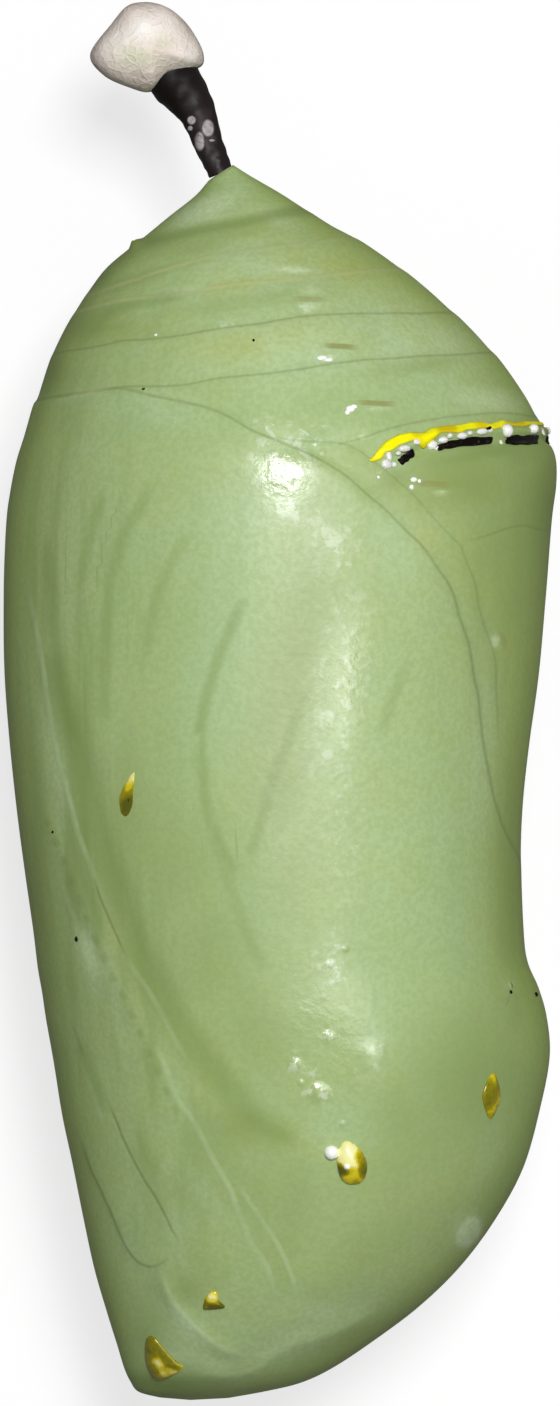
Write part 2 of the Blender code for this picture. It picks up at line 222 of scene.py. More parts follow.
def bandRelief(place, turn):
    degrees = np.abs(np.degrees(turn))
    centre = bandShape["centre"] + bandShape["curl"] * smoothStep(bandShape["end"] - 16, bandShape["end"], degrees)
    away = (place - centre) / bandShape["reach"]
    shape = bandShape["rise"] * np.exp(-away * away) - bandShape["hollow"] * np.exp(-((away - 2.6) ** 2))
    return shape * (1 - smoothStep(bandShape["end"] - 4, bandShape["end"] + 3, degrees))


def ledgeShape(across, down, curve, softness, fade, ends):
    # 1 just left of the curve's way, falling off over the fade, and 0 on its right
    distance, along, length = besideCurve(across, down, curve)
    shape = smoothStep(-softness, softness, -distance) * np.exp(-np.maximum(-distance, 0) / fade)
    return shape * fadedEnds(along, length, ends)


def coverRelief(place, turn, across, down):
    soft = coverShape["softEdge"]
    outside = -besideCurve(across, down, coverShape["wingEdge"])[0]
    offWing = smoothStep(-soft, soft, outside)
    toWaist = smoothStep(*coverShape["waist"], place)
    step = coverShape["wingStep"] + (coverShape["waistStep"] - coverShape["wingStep"]) * toWaist
    height = -step * (1 - smoothStep(0, coverShape["wingFade"], outside)) * offWing
    distance, along, length = besideCurve(across, down, coverShape["hindEdge"])
    hind = smoothStep(-soft, soft, -distance) * (1 - smoothStep(0, coverShape["hindFade"], -distance))
    height -= coverShape["hindStep"] * hind * fadedEnds(along, length, coverShape["hindEnds"])
    for step, ring in segmentRings:
        height -= step * ledgeShape(across, down, ring, soft, segmentFade, segmentEnds) * offWing
    plate = ledgeShape(across, down, coverShape["headPlate"], 3.5, coverShape["plateFade"], 20)
    height += coverShape["plateStep"] * plate
    for name, (rise, width, ends) in coverShape["ridges"].items():
        distance, along, length = besideCurve(across, down, coverShape[name])
        ridge = np.exp(-(distance / width) ** 2) * fadedEnds(along, length, ends)
        if name == "antenna":
            ridge *= 1 + coverShape["beadSwell"] * np.sin(along * math.tau / coverShape["antennaBead"])
        height += rise * ridge
    toothX, toothY = coverShape["tooth"]
    fromTooth = (across - toothX) ** 2 + (down - toothY) ** 2
    height += coverShape["toothRise"] * np.exp(-fromTooth / coverShape["toothSpread"])
    return height + bandRelief(place, turn) * offWing


def skinPoint(place, turn, lift=0.0):
    point, normal = casePoint(place, turn), caseNormal(place, turn)
    across, down = photoSpot(point)
    height = coverRelief(place, turn, across, down) * smoothStep(0.2, 1.5, place)
    point = point + normal * (height + lift)[:, None]
    point[:, 2] = np.maximum(point[:, 2], -framing["restHeight"])
    return point


def spotOnCase(pixels):
    # place and turn of the points of the upper side that the camera sees at these pixels
    pixels = np.asarray(pixels, float).reshape(-1, 2)
    places, turns = np.meshgrid(np.linspace(0.3, 33.7, 120), np.radians(np.linspace(3, 177, 88)))
    places, turns = places.ravel(), turns.ravel()
    gridX, gridY = photoSpot(casePoint(places, turns))
    nearest = [np.argmin((gridX - x) ** 2 + (gridY - y) ** 2) for x, y in pixels]
    place, turn, small = places[nearest], turns[nearest], 0.002
    for _ in range(8):
        x, y = photoSpot(casePoint(place, turn))
        placeX, placeY = photoSpot(casePoint(place + small, turn))
        turnX, turnY = photoSpot(casePoint(place, turn + small))
        a, b, c, d = (placeX - x) / small, (turnX - x) / small, (placeY - y) / small, (turnY - y) / small
        missX, missY = pixels[:, 0] - x, pixels[:, 1] - y
        scale = a * d - b * c
        scale = np.where(np.abs(scale) < 1e-6, 1e-6, scale)
        place = np.clip(place + np.clip((d * missX - b * missY) / scale, -0.5, 0.5), 0, 34)
        turn = np.clip(turn + np.clip((a * missY - c * missX) / scale, -0.2, 0.2), 0.01, math.pi - 0.01)
    return place, turn


def toScene(points):
    return (np.asarray(points) + (0, 0, framing["restHeight"])) * millimetre


def addObject(name, data):
    item = bpy.data.objects.new(name, data)
    bpy.context.collection.objects.link(item)
    return item


def meshFrom(bm, name):
    mesh = bpy.data.meshes.new(name)
    bm.to_mesh(mesh)
    bm.free()
    return mesh


def roundTemplate(around, rings):
    # a closed ball whose points are numbered by ring, from pole to pole, and by their angle round it
    bm = bmesh.new()
    bmesh.ops.create_grid(bm, x_segments=around, y_segments=rings + 1, size=0.5)
    for vert in bm.verts:
        turn, polar = (vert.co.x + 0.5) * math.tau, (vert.co.y + 0.5) * math.pi
        vert.co = (math.sin(polar) * math.cos(turn), math.sin(polar) * math.sin(turn), math.cos(polar))
    bmesh.ops.remove_doubles(bm, verts=bm.verts, dist=1e-5)
    mesh = meshFrom(bm, "template")
    points = np.empty(len(mesh.vertices) * 3)
    mesh.vertices.foreach_get("co", points)
    points = points.reshape(-1, 3)
    ring = np.rint(np.arccos(np.clip(points[:, 2], -1, 1)) / math.pi * (rings + 1)).astype(int)
    return mesh, ring, np.arctan2(points[:, 1], points[:, 0])


def makePiece(name, shapes, material, replaced=(), attributes=None):
    # shapes are (template mesh, points in mm); they become one object with its place in its mesh
    bm = bmesh.new()
    for template, points in shapes:
        template.vertices.foreach_set("co", toScene(points).astype(np.float32).ravel())
        bm.from_mesh(template)
    bm.normal_update()
    bmesh.ops.recalc_face_normals(bm, faces=bm.faces)
    bm.normal_update()
    mesh = meshFrom(bm, name)
    for key, values in (attributes or {}).items():
        layer = mesh.attributes.new(key, "FLOAT_VECTOR", "POINT")
        layer.data.foreach_set("vector", np.asarray(values, np.float32).ravel())
    mesh.shade_smooth()
    mesh.materials.append(material)
    piece = addObject(name, mesh)
    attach(piece, "root")
    if replaced:
        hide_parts(*replaced)
    print("made", name, len(mesh.polygons), "faces")


# Node helpers
def linear(red, green, blue):
    return tuple(((c / 255 + 0.055) / 1.055) ** 2.4 if c > 10 else c / 255 / 12.92 for c in (red, green, blue)) + (1,)


def setInputs(tree, node, values):
    for key, value in values.items():
        if isinstance(value, bpy.types.NodeSocket):
            tree.links.new(value, node.inputs[key])
        else:
            node.inputs[key].default_value = value


def addNode(tree, kind, inputs=None, **settings):
    node = tree.nodes.new("ShaderNode" + kind)
    for key, value in settings.items():
        setattr(node, key, value)
    setInputs(tree, node, inputs or {})
    return node


def splitVector(tree, vector):
    return addNode(tree, "SeparateXYZ", {0: vector}).outputs


def fieldParts(tree, name):
    # the three values of one of the piece's own attributes
    return splitVector(tree, addNode(tree, "Attribute", attribute_name=name).outputs["Vector"])


def calc(tree, operation, *values):
    return addNode(tree, "Math", dict(enumerate(values)), operation=operation).outputs[0]


def mixed(tree, factor, first, second):
    return addNode(tree, "Mix", {0: factor, 6: first, 7: second}, data_type="RGBA").outputs[2]


def ranged(tree, value, low, high, toLow=0.0, toHigh=1.0):
    inputs = {"Value": value, "From Min": low, "From Max": high, "To Min": toLow, "To Max": toHigh}
    return addNode(tree, "MapRange", inputs, interpolation_type="SMOOTHSTEP").outputs["Result"]


def noiseValue(tree, coords, scale, detail=2.0, roughness=0.5):
    inputs = {"Vector": coords, "Scale": scale, "Detail": detail, "Roughness": roughness}
    return addNode(tree, "TexNoise", inputs).outputs[0]


def makeGroup(name, inputs, outputs):
    group = bpy.data.node_groups.new(name, "ShaderNodeTree")
    for key, kind, value in inputs:
        socket = group.interface.new_socket(key, in_out="INPUT", socket_type=kind)
        if value is not None:
            socket.default_value = value
    for key, kind in outputs:
        group.interface.new_socket(key, in_out="OUTPUT", socket_type=kind)
    return group, group.nodes.new("NodeGroupInput"), group.nodes.new("NodeGroupOutput")


def makeLineGroup():
    # a drawn line: reads a curve attribute (distance in tens of pixels, weight, hundreds of pixels along)
    group, given, result = makeGroup(
        "drawnLine",
        [("Curve", "NodeSocketVector", None), ("Wobble", "NodeSocketFloat", 0.0),
         ("Width", "NodeSocketFloat", 1.0), ("Softness", "NodeSocketFloat", 1.5)],
        [("Mask", "NodeSocketFloat")],
    )
    away, weight, _ = splitVector(group, given.outputs["Curve"])
    distance = calc(group, "MULTIPLY_ADD", away, 10.0, given.outputs["Wobble"])
    rim = calc(group, "ADD", given.outputs["Width"], given.outputs["Softness"])
    mask = ranged(group, calc(group, "ABSOLUTE", distance), given.outputs["Width"], rim, 1.0, 0.0)
    group.links.new(calc(group, "MULTIPLY", mask, weight), result.inputs["Mask"])
    return group


def makeSpotGroup():
    # a soft round or oval spot that goes through a piece from side to side; all lengths in m
    group, given, result = makeGroup(
        "roundSpot",
        [("Coordinates", "NodeSocketVector", None), ("Centre", "NodeSocketVector", None),
         ("Half Width", "NodeSocketFloat", 0.0001), ("Half Length", "NodeSocketFloat", 0.0001),
         ("Edge", "NodeSocketFloat", 0.5)],
        [("Mask", "NodeSocketFloat")],
    )
    pair = {0: given.outputs["Coordinates"], 1: given.outputs["Centre"]}
    right, above, _ = splitVector(group, addNode(group, "VectorMath", pair, operation="SUBTRACT").outputs[0])
    right = calc(group, "DIVIDE", right, given.outputs["Half Width"])
    above = calc(group, "DIVIDE", above, given.outputs["Half Length"])
    away = calc(group, "SQRT", calc(group, "MULTIPLY_ADD", right, right, calc(group, "MULTIPLY", above, above)))
    inner = calc(group, "SUBTRACT", 1.0, given.outputs["Edge"])
    group.links.new(ranged(group, away, inner, 1.0, 1.0, 0.0), result.inputs["Mask"])
    return group


def makeGrainGroup():
    # uneven colour of a waxy or fibrous surface, from broad clouds down to fine grain
    group, given, result = makeGroup(
        "naturalGrain",
        [("Coordinates", "NodeSocketVector", None), ("Broad Scale", "NodeSocketFloat", 300.0),
         ("Fine Scale", "NodeSocketFloat", 5000.0)],
        [("Broad", "NodeSocketFloat"), ("Middle", "NodeSocketFloat"), ("Fine", "NodeSocketFloat")],
    )
    coords = given.outputs["Coordinates"]
    middle = calc(group, "MULTIPLY", given.outputs["Broad Scale"], 4.0)
    group.links.new(noiseValue(group, coords, given.outputs["Broad Scale"], 3.0), result.inputs["Broad"])
    group.links.new(noiseValue(group, coords, middle, 4.0, 0.6), result.inputs["Middle"])
    group.links.new(noiseValue(group, coords, given.outputs["Fine Scale"], 2.0, 0.6), result.inputs["Fine"])
    return group


lineGroup, spotGroup, grainGroup = makeLineGroup(), makeSpotGroup(), makeGrainGroup()


def newMaterial(name):
    material = bpy.data.materials.new(name)
    material.use_nodes = True
    tree = material.node_tree
    return material, tree, tree.nodes["Principled BSDF"]


def placeGroup(tree, group, inputs):
    return addNode(tree, "Group", inputs, node_tree=group)


def grainMaterial(name, broadScale, fineScale=9000.0):
    # a new material with the coordinates of its piece and the grain group's outputs
    material, tree, shader = newMaterial(name)
    coords = addNode(tree, "TexCoord").outputs["Object"]
    grain = placeGroup(tree, grainGroup, {"Coordinates": coords, "Broad Scale": broadScale, "Fine Scale": fineScale})
    return material, tree, shader, coords, grain.outputs


def dress(tree, shader, colour, roughness, height=None, plain=None):
    # what changes over the surface, its relief in mm, and the shader's plain values
    values = {"Base Color": colour, "Roughness": roughness, **(plain or {})}
    if height is not None:
        values["Normal"] = addNode(tree, "Bump", {"Height": height, "Distance": millimetre, "Strength": 1.0}).outputs[0]
    setInputs(tree, shader, values)


# Lines drawn on the case, by kind: (strength, curve in pixels)
drawnLines = {
    "ringLine": [
        (0.8, segmentRings[4][1]),
        (0.6, [(459, 543.5), (473, 540), (487, 536), (501, 531), (515, 527), (527, 526), (539, 529), (560, 533)]),
    ],
    "nextRingLine": [(0.8, segmentRings[3][1]), (0.7, segmentRings[5][1])],
    "coverLine": [(1.0, coverShape["wingEdge"])],
    "hindLine": [(0.8, coverShape["hindEdge"])],
    "veinLine": [
        (1.2, segmentRings[0][1]), (0.9, [(90, 318), (140, 303), (190, 293)]),
        (0.7, [(77, 1031), (92, 1075), (108, 1119)]), (0.6, [(232, 1104), (262, 1124), (310, 1150)]),
        (0.6, [(196, 735), (206, 800), (222, 860), (246, 930), (270, 980)]),
        (0.7, [(105, 483), (96, 514), (87, 549), (79, 596)]),
        (0.8, [(46, 530), (50, 575), (54, 620), (60, 679), (67, 716), (76, 752)]),
        (0.7, [(154, 478), (137, 512), (125, 531), (111, 581), (104, 664), (106, 730)]),
        (0.6, [(193, 524), (168, 571), (154, 610), (146, 664)]),
        (1.0, [(250, 589), (229, 631), (211, 681), (200, 735), (204, 789), (214, 831), (240, 885)]),
        (1.0, [(307, 681), (293, 728), (275, 774), (261, 824), (246, 868)]),
        (0.6, [(411, 652), (389, 710), (379, 745)]),
    ],
    "darkLine": [
        (0.8, [(91, 869), (97, 889), (106, 913), (116, 936), (128, 962)]),
        (0.4, [(70, 1018), (78, 1040), (85, 1062)]),
        (0.9, [(106, 1098), (111, 1110), (125, 1143), (142, 1177), (153, 1194), (166, 1218), (175, 1236),
               (182, 1246)]),
        (0.7, coverShape["headPlate"]),
        (0.4, [(505, 1010), (508, 1001), (511, 992)]),
    ],
    "lightLine": [
        (0.5, [(83, 1068), (95, 1100), (105, 1130)]),
        (0.8, [(29, 588), (33, 612), (38.5, 640), (46, 692), (54, 737), (60, 766), (70, 804), (78, 834), (91, 869)]),
        (0.5, [(123, 951), (135, 972), (147, 989), (164, 1018), (176, 1042), (188, 1062)]),
        (0.7, [(236, 1180), (244, 1194), (259, 1216), (275, 1240), (288, 1268), (296, 1292), (301, 1320)]),
        (1.0, coverShape["headRidge"]),
        (0.5, coverShape["browRidge"]),
    ],
    "ledgeLine": [(0.9, segmentRings[1][1]), (0.9, segmentRings[2][1]), (0.8, [(52, 402), (80, 394), (108, 389)])],
    "beadLine": [(1.0, coverShape["antenna"])],
    "costalLine": [(1.0, coverShape["groove"] + [(300, 1146)])],
    "legLine": [  # pale edges of the legs and feelers that lie against the wing
        (0.9, [(152, 1040), (164, 1066), (177, 1099), (188, 1114), (199, 1131), (214, 1162), (229, 1188),
               (244, 1227), (255, 1249), (268, 1270), (276, 1300)]),
        (0.6, [(64, 770), (72, 812), (84, 849), (98, 886), (112, 915)]),
        (0.4, [(50, 845), (60, 880), (74, 920), (90, 965)]),
    ],
    "slitLine": [  # olive slits of the breathing holes
        (1.0, [(318, 344.5), (330, 345.5), (345, 346.5), (362, 348)]),
        (1.0, [(352, 402), (366, 402.5), (380, 403), (400, 403.5)]),
        (0.8, [(412, 483), (425, 484), (440, 485), (456, 487)]),
        (0.6, [(288, 298), (310, 299), (330, 299)]),
        (0.5, [(499, 630), (504, 639), (506, 650)]),
    ],
}
lineReach = {"veinLine": 26, "costalLine": 44, "others": 14}  # pixels within which a line may colour the case


def curveAttribute(across, down, lines, reach):
    field, best = np.zeros((len(across), 3)), np.full(len(across), 1e6)
    field[:, 0] = 4.0
    for strength, curve in lines:
        distance, along, length = besideCurve(across, down, curve)
        weight = strength * fadedEnds(along, length, min(25, length / 3))
        weight *= 1 - smoothStep(0.6 * reach, reach, np.abs(distance))
        cost = np.abs(distance) + 60 * (weight <= 0)
        nearer = cost < best
        row = np.column_stack([np.clip(distance / 10, -4, 4), weight, along / 100])
        field[nearer] = row[nearer]
        best = np.minimum(best, cost)
    return field


# Soft patches of another tone, partly painted light: pixel, half sizes in pixels, degrees turned, amount
toneAndPaintedLightPatches = {
    # pale: partly painted highlight, at the shoulder glint, along the sheen and as crescents under the breathing slits
    "pale": [
        (280, 520, 70, 50, 10, 0.4), (345, 700, 34, 110, 8, 0.2), (405, 900, 40, 100, 0, 0.25),
        (204, 209, 44, 14, -25, 1.3), (285, 440, 26, 14, 10, 1.0), (130, 300, 60, 60, -20, 0.3),
        (150, 405, 60, 16, 8, 0.6), (430, 330, 90, 50, 30, 0.8), (492, 760, 20, 80, 0, 0.5),
        (460, 441, 60, 4, -4, 0.9), (440, 491, 12, 2.5, 0, 1.2), (340, 351, 14, 2.5, 4, 1.0),
        (374, 408, 14, 2.5, 2, 1.0), (345, 1128, 30, 22, 0, 0.5), (90, 955, 11, 40, -22, 1.1),
        (52, 760, 12, 70, -12, 0.7), (270, 216, 40, 10, 20, 0.9), (310, 290, 16, 6, -5, 0.9),
        (176, 292, 40, 4.5, -10, 0.8), (82, 395, 26, 3, -14, 0.7), (165, 342, 30, 4, -4, 0.5),
        (190, 1110, 12, 60, -25, 0.3), (270, 270, 90, 40, -10, 0.5), (300, 345, 90, 40, -5, 0.8),
        (310, 307, 14, 6, -8, 1.2), (294, 270, 24, 5, 4, 1.3), (328, 357, 12, 5, 0, 1.1),
        (322, 1313, 24, 9, 0, 0.6), (469, 1232, 10, 15, 28, 2.2), (495, 641, 5, 7, 0, 1.4),
        (362, 436, 4, 3, 0, 1.4), (185, 1325, 34, 8, 52, 0.9), (175, 1205, 60, 50, -25, 0.45),
        (511, 984, 6, 6, 0, 0.8), (437, 495, 16, 4, 10, 0.7), (230, 650, 26, 90, 12, 0.3),
        (374, 1053, 11, 20, 0, 1.0), (331, 965, 12, 22, 0, 0.4), (300, 1065, 26, 30, 0, 0.3),
        (400, 540, 40, 60, -30, 0.5), (450, 340, 60, 30, 30, 0.9), (490, 400, 50, 18, 10, 1.0),
        (405, 470, 14, 40, -40, 0.6), (340, 440, 60, 14, 0, 0.7), (180, 1360, 60, 14, 12, 0.5),
        (320, 1330, 60, 12, -25, 0.5),
    ],
    # olive: partly painted shade, towards the right edge and in the hollow under the band
    "olive": [
        (460, 480, 66, 30, 5, 0.8), (420, 366, 44, 7, -8, 0.5), (500, 560, 50, 110, 0, 0.5),
        (475, 455, 40, 7, -4, 0.6), (95, 328, 22, 10, -20, 0.6), (250, 300, 60, 8, -10, 0.4),
        (440, 1080, 60, 60, -30, 0.3), (140, 820, 20, 60, -15, 0.4), (290, 690, 30, 130, 10, 0.65),
        (288, 780, 22, 60, 10, 0.6), (400, 1120, 40, 50, -20, 0.4), (285, 1200, 30, 40, 0, 0.35),
        (215, 950, 40, 50, -25, 0.4), (198, 249, 34, 6, -14, 0.5), (110, 328, 26, 9, -10, 0.5),
        (262, 1030, 30, 60, -28, 0.4), (400, 1060, 60, 30, 0, 0.2), (290, 860, 26, 60, 10, 0.3),
        (244, 1128, 20, 16, 40, 0.6), (170, 860, 60, 60, -30, 0.3), (186, 1290, 16, 16, 30, 0.5),
        (260, 1040, 40, 70, -30, 0.15), (410, 1150, 60, 40, -30, 0.35), (110, 262, 40, 10, -25, 0.4),
        (215, 238, 60, 7, -12, 0.4), (400, 1230, 60, 30, -35, 0.3), (150, 274, 60, 6, -18, 0.4),
        (128, 330, 40, 10, 0, 0.3),
    ],
    # dark: partly painted shade, along the right and left edges, at the head's lower rim and in the hollow under the
    # band
    "dark": [
        (330, 1366, 190, 24, -28, 0.25), (98, 279, 16, 7, -35, 0.6), (510, 1190, 24, 110, 22, 0.3),
        (160, 1388, 44, 16, 0, 0.8), (548, 500, 20, 60, 0, 0.4), (514, 1010, 16, 50, 0, 0.3),
        (470, 457, 34, 6, -4, 0.4), (522, 456, 26, 10, 0, 0.4), (500, 450, 50, 9, 0, 0.5),
        (512, 900, 20, 120, 0, 0.25), (50, 370, 16, 20, 0, 0.5), (104, 268, 22, 7, -35, 0.5),
        (70, 320, 16, 24, 30, 0.3), (480, 1070, 50, 90, 15, 0.35), (148, 1345, 14, 34, 0, 0.35),
        (510, 1040, 30, 60, 0, 0.15), (395, 478, 24, 8, -30, 0.3),
    ],
}
tintPatches = {
    "cool": [
        (215, 650, 34, 110, 10, 0.8), (186, 740, 18, 44, 0, 0.6), (150, 412, 60, 12, 8, 0.6),
        (252, 905, 26, 60, 0, 0.5), (346, 1128, 34, 24, 0, 0.6), (222, 196, 34, 12, -25, 0.7),
        (385, 980, 30, 70, 0, 0.4), (120, 560, 26, 70, 0, 0.35), (330, 400, 90, 16, -5, 0.3),
        (440, 900, 24, 90, 0, 0.4), (120, 1240, 26, 30, 20, 0.5), (60, 1050, 12, 60, -12, 0.4),
    ],
    "yellow": [
        (260, 340, 60, 14, -8, 0.7), (340, 262, 80, 26, 20, 0.8), (440, 310, 50, 24, 32, 0.7),
        (120, 330, 40, 12, -10, 0.4), (428, 530, 12, 56, -36, 0.8), (250, 282, 50, 6, -8, 0.6),
        (505, 690, 10, 90, 0, 0.5), (120, 950, 14, 80, -22, 0.4), (200, 1060, 18, 60, -30, 0.4),
        (290, 1140, 40, 12, 20, 0.5), (110, 252, 40, 8, -30, 0.4), (470, 560, 14, 60, -20, 0.5),
        (455, 490, 40, 14, 0, 0.4), (404, 1190, 50, 24, -30, 0.4),
    ],
}
# Places with long fibres: the same values
fibrePatches = [
    (70, 600, 50, 160, 0, 0.6), (100, 900, 50, 180, -14, 0.55), (160, 1120, 60, 150, -25, 0.45),
    (120, 320, 70, 60, -15, 0.14), (300, 600, 60, 120, 10, 0.12), (500, 700, 30, 200, 0, 0.16),
]
# Smoother places of the wax, where light gleams: the same values
glossPatches = [
    (283, 470, 30, 36, 0, 1.0), (344, 680, 26, 76, 8, 0.9), (326, 1050, 50, 70, 0, 0.8), (318, 436, 18, 10, 10, 0.9),
    (332, 545, 26, 40, -20, 0.5), (331, 960, 12, 30, 0, 0.6),
]
# Painted highlights, white and crumbled, where the light gleams on the wax: the same values
paintedHighlightPatches = [
    (284, 440, 24, 8, 0, 0.95), (283, 462, 26, 32, 0, 0.9), (290, 505, 26, 22, 0, 0.7), (270, 428, 18, 9, 15, 0.9),
    (312, 434, 14, 9, 0, 1.0), (340, 690, 24, 80, 8, 0.55), (335, 545, 24, 34, -25, 0.5),
    (331, 965, 13, 24, 0, 0.8), (318, 1091, 13, 11, 30, 0.9), (294, 1062, 8, 8, 30, 0.9),
    (373, 1053, 10, 17, 0, 0.6), (329, 1036, 8, 7, 0, 0.7), (313, 1071, 9, 5, 20, 0.5), (310, 307, 12, 5, -8, 0.8),
    (328, 357, 10, 4, 0, 0.7), (228, 325, 14, 4, -14, 0.6), (379, 476, 6, 4, 0, 0.7), (293, 270, 20, 4, 8, 0.4),
    (346, 828, 20, 60, 0, 0.35), (187, 224, 22, 5, -25, 0.3), (425, 486, 5, 4, 0, 0.6),
]


def ovalReach(across, down, x, y, halfX, halfY, turned):
    # how far from the middle of a turned oval, with 1 on its rim
    cosine, sine = math.cos(math.radians(turned)), math.sin(math.radians(turned))
    right = ((across - x) * cosine + (down - y) * sine) / halfX
    below = ((down - y) * cosine - (across - x) * sine) / halfY
    return np.hypot(right, below)


def patchTone(across, down, patches):
    tone = np.zeros(len(across))
    for *oval, amount in patches:
        tone = np.maximum(tone, amount * np.exp(-0.7 * ovalReach(across, down, *oval) ** 2))
    return tone


skinLook = {
    "pale": linear(182, 205, 156),
    # over the strongest pale patches: pale marks and painted highlights
    "paleMarkAndHighlight": linear(198, 218, 168),
    "middle": linear(160, 183, 120),
    "warm": linear(168, 186, 112),
    "cool": linear(160, 190, 138),
    "yellow": linear(178, 188, 112),
    "olive": linear(136, 156, 84),
    "vein": linear(126, 150, 78),
    "dark": linear(112, 134, 62),
    # painted shade: a darker, more saturated green along the outline of the back and the belly
    "paintedEdgeShade": linear(160, 186, 68),
    "line": linear(96, 116, 56),
    "ledge": linear(184, 192, 128),
    "slit": linear(144, 146, 84),
    # colour of the painted highlights
    "paintedGleam": linear(226, 236, 214),
    "cloudScale": 260.0,
    "crumbScale": 4200.0,
    "fibreScale": 1500.0,
    "fibreStretch": (1.0, 0.1, 1.0),
    "roughness": 0.44,
    "glossRoughness": 0.22,
    "leastRoughness": 0.12,
    # relief of the grain and of the crumbs, in mm
    "fineRise": 0.003,
    "middleRise": 0.012,
    "crumbRise": 0.016,
    # bumps that catch the light: pixel, radius in pixels, rise in mm
    "pimples": [
        (318, 1093, 14, 0.040), (295, 1065, 10, 0.028), (346, 949, 5, 0.018), (372, 1056, 20, 0.026),
        (328, 1037, 9, 0.014), (343, 1124, 5, 0.014), (511, 985, 5, 0.030), (316, 441, 5, 0.015),
        (305, 445, 5, 0.012), (323, 451, 5, 0.015), (301, 1083, 5, 0.012), (330, 964, 6, 0.010),
    ],
    # kind of line: colour, half width and softness in pixels, how strong, rise in mm
    "lines": {
        "ringLine": ("line", 0.3, 1.6, 0.38, -0.004), "nextRingLine": ("line", 0.3, 1.6, 0.38, -0.004),
        "coverLine": ("line", 0.5, 1.8, 0.30, -0.004), "hindLine": ("line", 0.4, 1.7, 0.24, -0.004),
        "veinLine": ("vein", 1.0, 9.0, 0.50, 0.0), "darkLine": ("line", 0.4, 1.8, 0.45, -0.006),
        "costalLine": ("vein", 3.0, 22.0, 0.5, 0.0), "beadLine": ("vein", 1.0, 4.5, 0.38, 0.0),
        "lightLine": ("pale", 0.6, 3.4, 0.7, 0.006), "legLine": ("pale", 0.6, 4.0, 0.55, 0.005),
        "ledgeLine": ("ledge", 0.4, 2.6, 0.7, 0.006),
        "slitLine": ("slit", 1.6, 1.8, 0.8, -0.008),
    },
}


